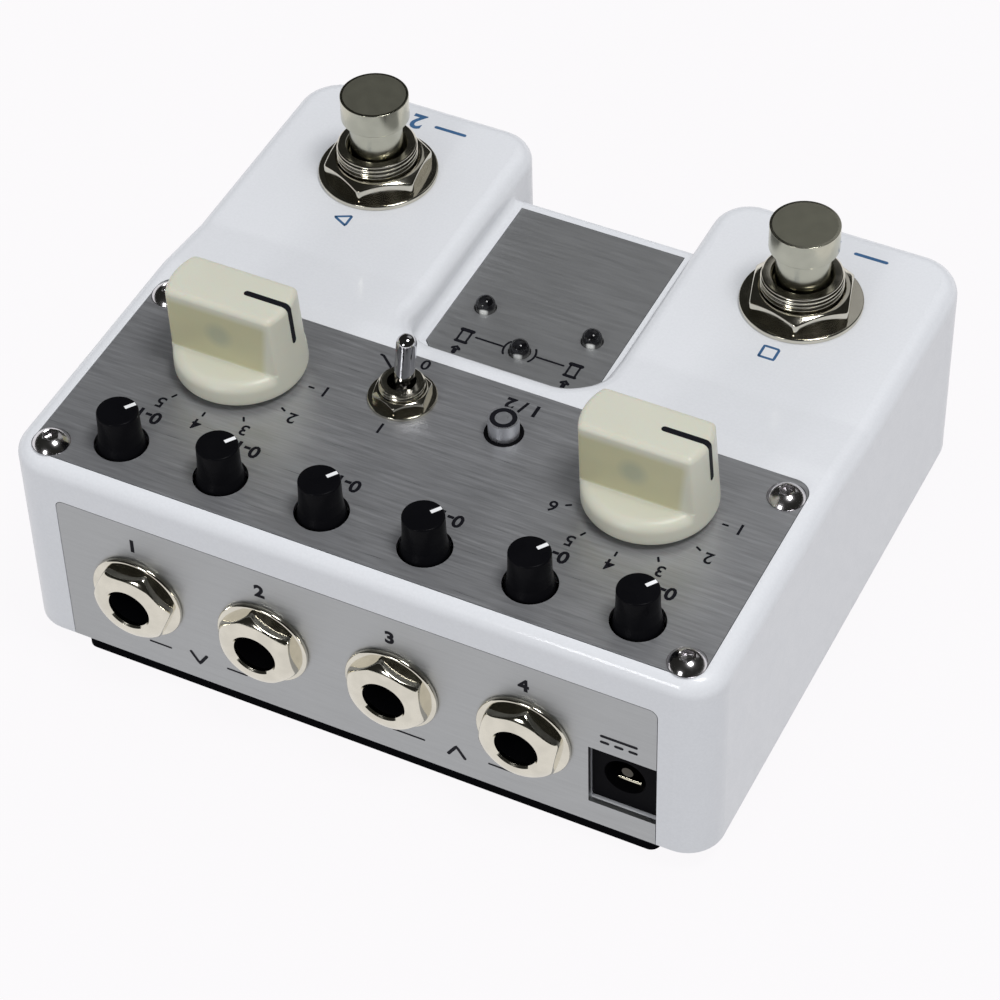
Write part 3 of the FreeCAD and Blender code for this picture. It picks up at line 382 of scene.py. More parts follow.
class Printing:
    """Printing of one ink on a flat face, gathered to be joined.

    The axis is the one that the face looks along, and its level the place on it.  A drawing's two
    numbers are the frame's x and y on an upward face, and x and height on the jack face.
    """

    def __init__(self, ink, face_level, axis=2):
        self.ink, self.level, self.axis = ink, face_level, axis
        self.film, self.things = marks().film, []

    def line(self, points, width):
        """Strip of a width along a polyline whose numbers are millimetres."""
        path = np.insert(dense(np.asarray(points) * MM, 0.6 * MM, width), self.axis, self.level, axis=1)
        normal = np.eye(3)[self.axis]
        strip = ribbon_rings(path, normal, width, self.film, np.cross(headings(path), normal))
        self.things.append(skin("line", strip, self.ink))

    def words(self, text, size, x, y, bold):
        """Number or sign as a thin raised film, centred on a place in metres."""
        curve = bpy.data.curves.new("words", "FONT")
        curve.body = text
        curve.size = size / DIGIT_SHARE
        curve.align_x, curve.align_y = "CENTER", "CENTER"
        curve.resolution_u = 3
        curve.extrude = self.film / 2
        curve.offset = bold * MM
        holder = new_object("words", curve)
        bpy.context.view_layer.update()
        mesh = bpy.data.meshes.new_from_object(holder.evaluated_get(bpy.context.evaluated_depsgraph_get()))
        bpy.data.objects.remove(holder)
        bpy.data.curves.remove(curve)
        points = np.empty(len(mesh.vertices) * 3)
        mesh.vertices.foreach_get("co", points)
        points = points.reshape(-1, 3)
        points[:, :2] -= (points[:, :2].min(axis=0) + points[:, :2].max(axis=0)) / 2
        points[:, 2] += self.film / 2
        if self.axis == 1:
            points = np.stack([x - points[:, 0], self.level + points[:, 2], y + points[:, 1]], axis=1)
        else:
            points = points + np.array([x, y, self.level])
        mesh.vertices.foreach_set("co", points.ravel())
        mesh.update()
        mesh.materials.clear()
        mesh.materials.append(bpy.data.materials[FINISH + self.ink])
        self.things.append(new_object("words", mesh))


def joined(name, things):
    """Several pieces of one body as one object."""
    bpy.ops.object.select_all(action="DESELECT")
    for thing in things:
        thing.select_set(True)
    bpy.context.view_layer.objects.active = things[0]
    if len(things) > 1:
        bpy.ops.object.join()
    things[0].name = name
    things[0].data.name = name
    return things[0]


def set_sockets(node, **values):
    """Set a node's own values; a space in a socket's name is written as an underscore."""
    for socket, value in values.items():
        node.inputs[socket.replace("_", " ")].default_value = value
    return node


def feed(tree, shader, **patterns):
    """Link patterns to the shader's sockets, which are named as in set_sockets."""
    for socket, pattern in patterns.items():
        tree.links.new(pattern, shader.inputs[socket.replace("_", " ")])


def new_material(name, colour, roughness, metallic=0.0, **sockets):
    """Material with the shader's own values set, and its tree and shader returned for patterns.

    The finishes are named apart from the plain materials that the frame brings along.
    """
    material = bpy.data.materials.new(FINISH + name)
    material.use_nodes = True
    tree = material.node_tree
    shader = set_sockets(tree.nodes["Principled BSDF"], Base_Color=(*colour, 1), Roughness=roughness,
                         Metallic=metallic, **sockets)
    return tree, shader


def place_of(tree, scale=(1, 1, 1), centre=(0, 0, 0)):
    """Object coordinates about a centre, stretched by a scale."""
    coordinates = tree.nodes.new("ShaderNodeTexCoord")
    mapping = set_sockets(tree.nodes.new("ShaderNodeMapping"), Scale=scale,
                          Location=[-c * s for c, s in zip(centre, scale)])
    tree.links.new(coordinates.outputs["Object"], mapping.inputs["Vector"])
    return mapping.outputs["Vector"]


def noise(tree, stretch, detail=2.0, roughness=0.5):
    """Noise between 0 and 1; the object's coordinates are stretched by one number or one for each axis."""
    node = set_sockets(tree.nodes.new("ShaderNodeTexNoise"), Scale=1.0, Detail=detail, Roughness=roughness)
    tree.links.new(place_of(tree, np.broadcast_to(stretch, 3).tolist()), node.inputs["Vector"])
    return node.outputs["Fac"]


def ranged(tree, value, low, high, to_low, to_high):
    """A value moved from one range to another, clamped."""
    node = set_sockets(tree.nodes.new("ShaderNodeMapRange"), From_Min=low, From_Max=high, To_Min=to_low,
                       To_Max=to_high)
    tree.links.new(value, node.inputs["Value"])
    return node.outputs["Result"]


def gloss(tree, pattern, smoothest, roughest):
    """Roughness that follows a pattern."""
    return ranged(tree, pattern, 0.3, 0.7, smoothest, roughest)


def shaded(tree, factor, first, second):
    """Blend of two colours, each given as numbers or as a socket, by a factor."""
    node = tree.nodes.new("ShaderNodeMix")
    node.data_type = "RGBA"
    for socket, value in (("A", first), ("B", second)):
        if isinstance(value, bpy.types.NodeSocket):
            tree.links.new(value, node.inputs[socket])
        else:
            node.inputs[socket].default_value = (*value, 1)
    tree.links.new(factor, node.inputs["Factor"])
    return node.outputs["Result"]


def two_tone(tree, pattern, colour, darker, lighter, low=0.35, high=0.65):
    """Colour that goes from a darker to a lighter shade of itself as a pattern goes from low to high."""
    shades = [[min(1.0, c * factor) for c in colour] for factor in (darker, lighter)]
    return shaded(tree, ranged(tree, pattern, low, high, 0, 1), *shades)


def calculated(tree, operation, first, second=None):
    """One step of arithmetic on sockets or numbers."""
    node = tree.nodes.new("ShaderNodeMath")
    node.operation = operation
    for socket, value in zip(node.inputs, (first, second)):
        if isinstance(value, (int, float)):
            socket.default_value = value
        elif value is not None:
            tree.links.new(value, socket)
    return node.outputs["Value"]


def bumped(tree, shader, height, distance):
    """Fine relief on the shader's normal, with its depth in millimetres."""
    node = set_sockets(tree.nodes.new("ShaderNodeBump"), Distance=distance * MM, Strength=1.0)
    tree.links.new(height, node.inputs["Height"])
    feed(tree, shader, Normal=node.outputs["Normal"])


def brushed(name, colour, roughness, contrast, metallic=0.72):
    """Brushed plate: long fine streaks along X in colour, gloss and relief."""
    tree, shader = new_material(name, colour, roughness, metallic, Specular_IOR_Level=0.3)
    streak = noise(tree, (150, 5200, 5200), 3.0, 0.7)
    band = noise(tree, (110, 1900, 1900))
    mixed = calculated(tree, "ADD", calculated(tree, "MULTIPLY", streak, 0.5),
                       calculated(tree, "MULTIPLY", band, 0.5))
    feed(tree, shader, Base_Color=two_tone(tree, mixed, colour, 1 - contrast, 1 + contrast, 0.34, 0.66),
         Roughness=gloss(tree, mixed, roughness - 0.1, roughness + 0.1))
    bumped(tree, shader, mixed, 0.004)


def plated(name, colour, roughness, waver=0.04):
    """Polished plating: faint hazy patches in the gloss and a slight ripple."""
    tree, shader = new_material(name, colour, roughness, 1.0)
    patch = noise(tree, 420, 1.0)
    feed(tree, shader, Base_Color=two_tone(tree, patch, colour, 0.94, 1.04),
         Roughness=gloss(tree, patch, max(0.02, roughness - waver), roughness + waver))
    bumped(tree, shader, noise(tree, 900, 1.0), 0.0003)


def satin_shaded(name, colour):
    """Dull plating of the caps' tops: fine grain that spreads the gloss, over faint clouds. Its colour is
    given darker than the cap's own, partly for the real satin finish and partly as painted shade on the tops.
    """
    tree, shader = new_material(name, colour, 0.42, 0.86, Specular_IOR_Level=0.3)
    cloud = noise(tree, 500, 3.0)
    feed(tree, shader, Base_Color=two_tone(tree, cloud, colour, 0.97, 1.02),
         Roughness=gloss(tree, cloud, 0.4, 0.45))
    bumped(tree, shader, noise(tree, 3200, 1.0), 0.002)


def moulded(name, colour, roughness, grain=2600, relief=0.006, **sockets):
    """Moulded plastic: fine grain in relief and a little unevenness in gloss and colour."""
    tree, shader = new_material(name, colour, roughness, **sockets)
    patch = noise(tree, 260)
    feed(tree, shader, Base_Color=two_tone(tree, patch, colour, 0.93, 1.07),
         Roughness=gloss(tree, patch, roughness - 0.05, roughness + 0.06))
    bumped(tree, shader, noise(tree, grain), relief)


def painted(name, colour):
    """Gloss paint over a casting: slow orange peel, a faint speckle and a clear top coat."""
    tree, shader = new_material(name, colour, 0.4, Specular_IOR_Level=0.35, Coat_Weight=0.45,
                                Coat_Roughness=0.07)
    peel = noise(tree, 620, 1.5)
    feed(tree, shader, Base_Color=two_tone(tree, noise(tree, 2600, 1.0), colour, 0.985, 1.012),
         Roughness=gloss(tree, peel, 0.34, 0.46))
    bumped(tree, shader, peel, 0.008)


def cream_for(name, knob):
    """Cream plastic whose finger flats look deeper and yellower, with a dim round insert behind them.

    Places on the knob are measured from the top of its axis.
    """
    look, centre = colours(), middle_of(knob)
    tree, shader = new_material(name, look.cream, 0.34, Specular_IOR_Level=0.4, Subsurface_Weight=0.15,
                                Subsurface_Scale=0.0015)

    def step(operation, first, second=None):
        """Arithmetic in this material's tree."""
        return calculated(tree, operation, first, second)

    def fade(value, low, high, to_low=0, to_high=1):
        """A factor that changes between two places in millimetres."""
        return ranged(tree, value, low * MM, high * MM, to_low, to_high)

    parts = tree.nodes.new("ShaderNodeSeparateXYZ")
    tree.links.new(place_of(tree, centre=(centre[0], centre[1], level(knob))), parts.inputs["Vector"])
    along, height = parts.outputs["X"], parts.outputs["Z"]
    aside = step("ABSOLUTE", parts.outputs["Y"])
    on_flat = step("MULTIPLY", fade(aside, 3.7, 4.2), fade(aside, 4.36, 4.5, 1, 0))
    leaning = step("SUBTRACT", along, step("MULTIPLY", height, -0.08))
    window = step("MULTIPLY", fade(leaning, -7.5, -6.5), fade(height, -2.1, -1.0, 1, 0))
    window = step("MULTIPLY", window, fade(height, -10.05, -9.9))
    thick = step("MULTIPLY", on_flat, window)
    across = step("POWER", step("SUBTRACT", along, 0.75 * MM), 2.0)
    upward = step("POWER", step("ADD", height, 5.5 * MM), 2.0)
    away = step("SQRT", step("ADD", across, upward))
    insert = step("MULTIPLY", thick, fade(away, 1.0, 2.6, 0.75, 0))
    swirl = noise(tree, (90, 90, 140), 1.0)
    deep = two_tone(tree, swirl, look.cream_flat, 0.96, 1.05)
    light = two_tone(tree, swirl, look.cream, 0.985, 1.01)
    grain = noise(tree, 1400)
    feed(tree, shader, Base_Color=shaded(tree, insert, shaded(tree, thick, light, deep), look.cream_core),
         Roughness=gloss(tree, grain, 0.31, 0.37))
    bumped(tree, shader, grain, 0.003)


def give(material, *nodes):
    """Put a material on CAD nodes."""
    for name in nodes:
        mesh = frame["nodes"][name].data
        mesh.materials.clear()
        mesh.materials.append(bpy.data.materials[FINISH + material])


class PEDAL_OT_finishes(bpy.types.Operator):
    """Makes every material and puts one on each CAD node"""
    bl_idname = "pedal.finishes"
    bl_label = "Finishes"

    def execute(self, context):
        look = colours()
        painted("white_paint", look.paint)
        brushed("panel_brushed", look.panel, 0.36, 0.15)
        brushed("jack_brushed", look.jack_panel, 0.4, 0.08, metallic=0.95)
        brushed("light_plate_brushed", look.light_panel, 0.38, 0.07)
        plated("nickel", look.nickel, 0.11)
        plated("bushing_nickel", look.nickel, 0.16)
        plated("switch_cap", look.cap, 0.2)
        plated("lever_chrome", look.chrome, 0.07, 0.02)
        plated("screw_steel", look.screw, 0.18)
        plated("shaft_metal", (0.5, 0.5, 0.5), 0.3)
        plated("spring_steel", (0.45, 0.45, 0.47), 0.3)
        plated("contact_brass", (0.74, 0.70, 0.56), 0.16)
        # Painted shade: the centre pin is plated metal coloured nearly black, for the shade deep inside the
        # power socket.
        plated("pin_metal", (0.07, 0.065, 0.055), 0.1)
        moulded("base_steel", (0.012, 0.012, 0.014), 0.5, 1800, 0.012, Specular_IOR_Level=0.06)
        moulded("sole_rubber", look.rubber, 0.85, 1500, 0.03, Specular_IOR_Level=0.02)
        moulded("knob_plastic", look.black, 0.3, Specular_IOR_Level=0.04)
        moulded("black_moulding", look.black, 0.6, Specular_IOR_Level=0.03)
        moulded("board_green", (0.02, 0.12, 0.05), 0.4)
        moulded("capacitor_sleeve", (0.03, 0.035, 0.06), 0.35)
        moulded("lead_grey", (0.33, 0.34, 0.36), 0.5)
        moulded("dark_ink", look.ink, 0.6, Specular_IOR_Level=0.12)
        moulded("blue_ink", look.blue_ink, 0.5, Specular_IOR_Level=0.3)
        moulded("white_ink", look.white_ink, 0.5, Specular_IOR_Level=0.3)
        # Painted shade: the caps' tops get a darker copy of the cap colour, partly for their satin finish and
        # partly for the dark reflection that they show.
        satin_shaded("cap_satin", (0.345, 0.34, 0.27))
        tree, shader = new_material("button_metal", look.button, 0.34, 0.88, Specular_IOR_Level=0.3)
        grain = noise(tree, (1800, 1800, 300), 3.0)
        feed(tree, shader, Roughness=gloss(tree, grain, 0.26, 0.4))
        bumped(tree, shader, grain, 0.004)
        give("white_paint", "casing")
        give("panel_brushed", "control_plate")
        give("jack_brushed", "jack_plate")
        give("light_plate_brushed", "led_plate")
        give("base_steel", "base_plate")
        give("sole_rubber", "rubber_sole")
        give("screw_steel", "base_plate_screws", "control_plate_screws")
        give("nickel", "jack_nuts", "jack_washers", "footswitch_nuts", "footswitch_washers",
             "toggle_washer", "toggle_nut", "selector_nuts")
        give("board_green", "main_board", "control_board")
        give("shaft_metal", "board_standoffs")
        give("black_moulding", "board_link", "main_board_chips", "potentiometers", "push_button_switch",
             "selector_switches", "dc_socket", *["jack_socket_%d" % (i + 1) for i in range(4)])
        give("capacitor_sleeve", "main_board_capacitors")
        give("lead_grey", "footswitch_leads")
        give("contact_brass", "jack_contacts", "dc_socket_contacts")
        give("bushing_nickel", "toggle_switch_body")
        give("lever_chrome", "toggle_lever")
        give("button_metal", "push_button_cap")
        give("knob_plastic", *["small_knob_%d" % (i + 1) for i in range(6)])
        for side in SIDES:
            cream_for(side + "_cream", side + "_selector_knob")
            give("shaft_metal", side + "_selector_shaft")
            give("bushing_nickel", side + "_footswitch_body")
            give("switch_cap", side + "_footswitch_plunger")
            give("spring_steel", side + "_footswitch_spring")
        return {"FINISHED"}


class PEDAL_OT_plate_screws(bpy.types.Operator):
    """Button-head screws with hexagon sockets in the control plate's corners"""
    bl_idname = "pedal.plate_screws"
    bl_label = "Plate screws"

    def execute(self, context):
        size = sizes()
        low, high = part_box("control_plate_screws")
        head, rise, shank, foot = size.screw_head, high.z - DECK, 1.5 * MM, low.z - DECK
        ball = (head ** 2 + rise ** 2) / (2 * rise)

        def dome(radius):
            """Height of a ball cap that meets the plate at the head's edge."""
            return np.sqrt(ball ** 2 - radius ** 2) - (ball - rise)

        angle = around(72)
        socket = hexagon_reach(angle, size.socket, 0, 60.0)
        mouth = float(dome(np.array(size.socket / 2)))
        under = spun([(0, foot), (shank, foot), (shank, 0.0), (head - 0.1 * MM, 0.0), (head, 0.12 * MM)])
        t = np.linspace(0.02, 1, 18)[:, None]
        reach = head * (1 - t) + (socket + 0.12 * MM) * t
        top = polar(reach, angle, dome(reach) * (1 - 0.001 * t))
        well = np.stack([polar(socket * share, angle, mouth - depth * MM)
                         for share, depth in ((1, 0.13), (1, 1.0), (0.5, 1.15), (0, 1.3))])
        rings = np.concatenate([under, top, well])
        places = [(x, y, DECK) for x in (head - high.x, high.x - head)
                  for y in (low.y + head, high.y - head)]
        screws = joined("plate_screws", [skin("plate_screw", stand(rings, place), "screw_steel")
                                         for place in places])
        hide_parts("control_plate_screws")
        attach(screws, "pedal")
        return {"FINISHED"}


class PEDAL_OT_footswitches(bpy.types.Operator):
    """Washers, nuts, threads and caps of the two footswitches"""
    bl_idname = "pedal.footswitches"
    bl_label = "Footswitches"

    def execute(self, context):
        size = sizes()
        washer, height = size.footswitch_washer_height, size.footswitch_nut_height
        root, stem = size.footswitch_bushing, size.stem
        collar, collar_height, face_inset, face_lift = 4.7 * MM, 1.2 * MM, 0.42 * MM, 0.004 * MM
        nuts, washers, threads = [], [], []
        for side, turn in zip(SIDES, (46, 36)):
            x, y, _ = middle_of(side + "_footswitch_plunger")
            low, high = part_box(side + "_footswitch_plunger")
            flat = washer_rings(size.footswitch_washer, root + 0.2 * MM, washer, 0.25 * MM)
            washers.append(skin("footswitch_washer", stand(flat, (x, y, LOBE)), "nickel", True))
            nut = machined_nut(size.footswitch_nut, root + 0.3 * MM, height, turn, 0.965)
            nuts.append(skin("footswitch_nut", stand(nut, (x, y, LOBE + washer)), "nickel", True))
            thread = sleeve_rings(root, root + 0.26 * MM, size.footswitch_mouth, washer + height - 0.25 * MM,
                                  level(side + "_footswitch_body") - LOBE + 1.2 * MM,
                                  size.footswitch_pitch, lip=0.3 * MM)
            threads.append(skin("bushing_thread", stand(thread, (x, y, LOBE)), "bushing_nickel", True))
            top, shoulder, collar_top = high.z, high.z - size.cap_height, low.z + collar_height
            profile = rounded([(0, low.z), (collar, low.z), (collar, collar_top), (stem, collar_top),
                               (stem, shoulder + 0.1 * MM), (size.cap - 0.16 * MM, shoulder),
                               (size.cap, shoulder + 0.16 * MM), (size.cap, top), (0, top)],
                              [0, 0, 0, 0, 0.15 * MM, 0.1 * MM, 0.1 * MM, size.cap_round], 8)
            cap = turned(side + "_cap_and_stem", profile, x, y, "switch_cap", 96)
            edge, under, over = size.cap - face_inset, top - 0.1 * MM, top + face_lift
            plate = [(0, under), (edge, under), (edge, over), (size.cap * 0.5, over), (0, over)]
            # The disc on each cap top carries the darker satin colour, which is partly painted shade.
            face = turned(side + "_cap_face", plate, x, y, "cap_satin", 96)
            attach(face, side + "_footswitch")
            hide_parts(side + "_footswitch_plunger")
            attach(cap, side + "_footswitch")
        for name, things, slot, node in (("footswitch_hex_nuts", nuts, "nickel", "footswitch_nuts"),
                                         ("footswitch_flat_washers", washers, "nickel", "footswitch_washers"),
                                         ("footswitch_threads", threads, "bushing_nickel", None)):
            thing = joined(name, things)
            if node:
                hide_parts(node)
            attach(thing, "pedal")
        return {"FINISHED"}


class PEDAL_OT_toggle(bpy.types.Operator):
    """Washer, nut, thread and lever of the toggle switch"""
    bl_idname = "pedal.toggle"
    bl_label = "Toggle switch"

    def execute(self, context):
        size = sizes()
        pivot = np.array(next(j["pos_m"] for j in frame["joints"] if j["name"] == "toggle_throw"), float)
        x, y, _ = pivot
        thick, height, root = 0.5 * MM, size.toggle_nut_height, size.toggle_bushing
        flat = washer_rings(5.0 * MM, 3.2 * MM, thick, 0.15 * MM)
        washer = skin("toggle_flat_washer", stand(flat, (x, y, DECK)), "nickel", True)
        nut = machined_nut(size.toggle_nut, root + 0.04 * MM, height, 40, 0.96)
        nut = skin("toggle_hex_nut", stand(nut, (x, y, DECK + thick)), "nickel", True)
        thread = sleeve_rings(root, root + 0.18 * MM, root - 0.4 * MM, thick + height - 0.2 * MM,
                              level("toggle_switch_body") - DECK + 0.01 * MM, size.toggle_pitch, rows=40)
        thread = skin("toggle_thread", stand(thread, (x, y, DECK)), "bushing_nickel", True)
        for thing, node in ((washer, "toggle_washer"), (nut, "toggle_nut"), (thread, None)):
            if node:
                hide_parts(node)
            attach(thing, "pedal")
        tilt = np.radians(13.0)
        tail, neck, ball = 1.0 * MM, 1.0 * MM, 1.9 * MM
        reach, radius = size.lever_reach, size.lever
        profile = rounded([(0, -5.0 * MM), (tail, -5.0 * MM), (tail, -1.9 * MM), (ball, -0.7 * MM),
                           (ball, 0.7 * MM), (neck, 1.7 * MM), (neck, 2.1 * MM), (radius, 2.7 * MM),
                           (radius, 6.0 * MM), (radius, reach), (0, reach)],
                          [0.3 * MM, 0, 0.5 * MM, 0.5 * MM, 0, 0, 0.3 * MM, 0, radius * 0.985], 14)
        across, forward, up = np.moveaxis(spun(profile, 56), -1, 0)
        leaning = np.stack([across, forward * np.cos(tilt) - up * np.sin(tilt),
                            forward * np.sin(tilt) + up * np.cos(tilt)], axis=-1)
        lever = skin("toggle_bat", leaning + pivot, "lever_chrome")
        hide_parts("toggle_lever")
        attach(lever, "toggle")
        return {"FINISHED"}


class PEDAL_OT_push_button(bpy.types.Operator):
    """Round push button with a black ring round its top"""
    bl_idname = "pedal.push_button"
    bl_label = "Push button"

    def execute(self, context):
        low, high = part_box("push_button_cap")
        x, y, _ = middle_of("push_button_cap")
        radius, stem, flange = sizes().button, 1.3 * MM, 3.2 * MM
        flange_low = level("push_button_switch") + 1.4 * MM
        flange_top = flange_low + 0.8 * MM
        profile = rounded([(0, low.z), (stem, low.z), (stem, flange_low), (flange, flange_low),
                           (flange, flange_top), (radius, flange_top), (radius, high.z), (0, high.z)],
                          [0, 0, 0.1 * MM, 0.1 * MM, 0, 0, 0.22 * MM], 7)
        cap = turned("button_cap", profile, x, y, "button_metal", 64)
        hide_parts("push_button_cap")
        inner, outer, under, over = 1.22 * MM, 1.95 * MM, high.z - 0.06 * MM, high.z + 0.004 * MM
        ring = turned("button_ring", [(inner, under), (outer, under), (outer, over), (inner, over)], x, y,
                      "dark_ink", 64, True)
        bore, neck, rim = radius + 0.06 * MM, 2.5 * MM, 2.85 * MM
        foot, seat, crown = DECK - 0.6 * MM, DECK + 0.01 * MM, DECK + 0.12 * MM
        outline = [(bore, foot), (neck, foot), (neck, seat), (rim, seat), (rim, crown), (bore, crown)]
        profile = rounded(outline, [0, 0, 0, 0.05 * MM], 4)
        collar = turned("button_collar", profile, x, y, "black_moulding", 64, True)
        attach(collar, "pedal")
        for thing in (cap, ring):
            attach(thing, "push_button")
        return {"FINISHED"}


class PEDAL_OT_jack_hardware(bpy.types.Operator):
    """Washers and domed cap nuts of the four phone jacks"""
    bl_idname = "pedal.jack_hardware"
    bl_label = "Jack hardware"

    def execute(self, context):
        size = sizes()
        thick, height = 0.8 * MM, size.jack_nut_height
        ring, face, corner = 0.4 * MM, 3.9 * MM, 6.55 * MM

        def crown(z):
            """Quarter ellipse from the nut's front ring down to its corners."""
            rise = np.clip((z - ring) / (height - ring), 0, 1)
            return face + (corner - face) * np.sqrt(np.clip(1 - rise ** 2, 0, 1))

        low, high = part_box("jack_nuts")
        washers, nuts = [], []
        for i, turn in enumerate((8, 38, 38, 21)):
            x, z = middle_of("jack_socket_%d" % (i + 1))[0], (low.z + high.z) / 2
            washer = washer_rings(size.jack_washer, 4.7 * MM, thick, 0.36 * MM)
            washers.append(skin("jack_washer", face_out(washer, (x, JACK_FACE, z)), "nickel", True))
            nut = nut_rings(size.jack_nut, size.jack_bore + 0.02 * MM, height, turn, [crown], rows=30,
                            chamfer=0.3 * MM)
            nuts.append(skin("jack_nut", face_out(nut, (x, JACK_FACE + thick, z)), "nickel", True))
        for name, things, node in (("jack_flat_washers", washers, "jack_washers"),
                                   ("jack_cap_nuts", nuts, "jack_nuts")):
            thing = joined(name, things)
            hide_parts(node)
            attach(thing, "pedal")
        return {"FINISHED"}


class PEDAL_OT_power_contacts(bpy.types.Operator):
    """Centre pin with a domed tip and the bowed leaf, in the power socket"""
    bl_idname = "pedal.power_contacts"
    bl_label = "Power contacts"

    def execute(self, context):
        low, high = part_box("dc_socket_contacts")
        x = middle_of("dc_socket_contacts")[0]
        radius, reach = 0.85 * MM, high.y - low.y
        profile = rounded([(0, 0), (radius, 0), (radius, reach), (0, reach)], [0, 0, 0.8 * MM], 10)
        # The pin gets the nearly black metal that paints the socket's shade on it.
        pin = skin("power_pin", face_out(spun(profile, 48), (x, low.y, high.z - radius)), "pin_metal")
        half, thick = 1.7 * MM, 0.12 * MM
        from_back = [(0, 0.2), (6.5, 0.35)]
        from_front = [(-2.6, 0.6), (-1.0, 1.25), (-0.85, 1.3), (-0.7, 1.1)]
        path = np.array([(x, end + y * MM, low.z + z * MM)
                         for end, bends in ((low.y, from_back), (high.y, from_front)) for y, z in bends])
        corners = np.array([(-half, 0, -thick), (half, 0, -thick), (half, 0, thick), (-half, 0, thick)])
        leaf = skin("power_leaf", path[:, None] + corners, "contact_brass")
        contacts = joined("power_contacts", [pin, leaf])
        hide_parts("dc_socket_contacts")
        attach(contacts, "pedal")
        return {"FINISHED"}


class PEDAL_OT_small_knobs(bpy.types.Operator):
    """Six black domed knobs, each with a white pointer line"""
    bl_idname = "pedal.small_knobs"
    bl_label = "Small knobs"

    def execute(self, context):
        shaft, foot, upward = 1.75 * MM, 3.5 * MM, np.array([0, 0, 1.0])
        way = np.array([-0.58, -0.81, 0.0])
        way /= np.linalg.norm(way)
        for i in range(6):
            node = "small_knob_%d" % (i + 1)
            x, y, _ = middle_of(node)
            low, top = level(node, high=False), level(node)
            profile = rounded([(0, low), (shaft, low), (shaft, DECK - 2.6 * MM), (foot, DECK - 2.6 * MM),
                               (foot, DECK - 0.1 * MM), (3.16 * MM, DECK + 1.3 * MM),
                               (3.03 * MM, DECK + 3.2 * MM), (2.98 * MM, top), (0, top)],
                              [0, 0, 0, 0.25 * MM, 1.2 * MM, 1.5 * MM, 0.3 * MM], 9)
            knob = turned(node + "_body", profile, x, y, "knob_plastic")
            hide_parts(node)
            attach(knob, "small_control_%d" % (i + 1))
            path = np.array([x, y, top - 0.05 * MM]) + np.linspace(1.15 * MM, 2.8 * MM, 8)[:, None] * way
            strip = ribbon_rings(path, upward, marks().pointer, 0.06 * MM, np.cross(way, upward), ends=0.0)
            line = skin(node + "_pointer", strip, "white_ink")
            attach(line, "small_control_%d" % (i + 1))
        return {"FINISHED"}


def selector_rings(size, foot, top, sockets, columns=288):
    """Rings of a selector knob about its axis.

    The wall is a cone whose centre leans away from the nose with height.  Below the ledges the reach is
    the wall's.  Beside the bar the wall then rounds over into a ledge, as a quarter circle, and from
    there up the reach is the soft smallest of the wall and of the bar's flats, half the bar's width over
    the sine of the direction, with a small fillet between ledge and flat and a rounded top edge.
    Sockets are the radius and top of each hollow under the knob, from the middle outwards.
    """
    angle = around(columns)[None]
    sine = np.maximum(np.abs(np.sin(angle)), 1e-4)
    half, ledge = size.selector_bar / 2, DECK + size.selector_ledge
    soft, fillet, edge, hem = 1.6 * MM, 0.35 * MM, size.selector_round, 0.35 * MM

    def wall(z):
        """Radius of the cone at a height."""
        return size.selector + (size.selector_top - size.selector) * (z - foot) / (top - foot)

    beside = np.clip((1.02 - half / sine / size.selector) / 0.25, 0, 1)
    beside = beside ** 2 * (3 - 2 * beside)
    t = np.linspace(0, 1, 10)[:, None]
    swing = t * np.pi / 2

    low_z = foot + hem + (ledge - soft - foot - hem) * t[::3] + 0 * angle
    turn_z = ledge - soft + soft * (beside * np.sin(swing) + (1 - beside) * t)
    turn_reach = wall(turn_z) - beside * soft * (1 - np.cos(swing))
    bar = soft_least(wall(ledge) + 0 * angle, half / sine, sharpness=36)
    flat_z = ledge + (1 - beside) * t * 0.1 * MM
    flat_reach = (1 - t) * turn_reach[-1:] + t * (bar + beside * fillet)
    bend_z = (ledge + beside * fillet * (1 - np.cos(swing))
              + (1 - beside) * (0.1 * MM + t * (fillet - 0.1 * MM)))
    bend_reach = bar + beside * fillet * (1 - np.sin(swing))
    rise_z = ledge + fillet + (top - edge - ledge - fillet) * t + 0 * angle
    over_z = top - edge + edge * np.sin(swing) + 0 * angle
    inward = edge * (1 - np.cos(swing))
    over_reach = soft_least(wall(over_z) - inward, (half - inward) / sine, sharpness=36)
    crown_z = np.full_like(over_z, top)
    parts = [(wall(low_z), low_z), (turn_reach, turn_z), (flat_reach, flat_z), (bend_reach, bend_z),
             (soft_least(wall(rise_z), half / sine, sharpness=36), rise_z), (over_reach, over_z),
             (over_reach[-1:] * (1 - t) ** 0.8, crown_z)]
    reach = np.concatenate([part[0] for part in parts])
    z = np.concatenate([part[1] for part in parts])
    lean = size.selector_lean * (z - foot) / (top - foot)
    outside = np.stack([lean + reach * np.cos(angle), reach * np.sin(angle), z], axis=-1)
    under = [(0, sockets[0][1])]
    for (radius, height), (_, following) in zip(sockets, sockets[1:] + [(0, foot)]):
        under += [(radius, height), (radius, following)]
    rim = [(size.selector - hem, foot), (size.selector - 0.3 * hem, foot + 0.3 * hem)]
    return np.concatenate([spun(np.array(under + rim), columns), outside])


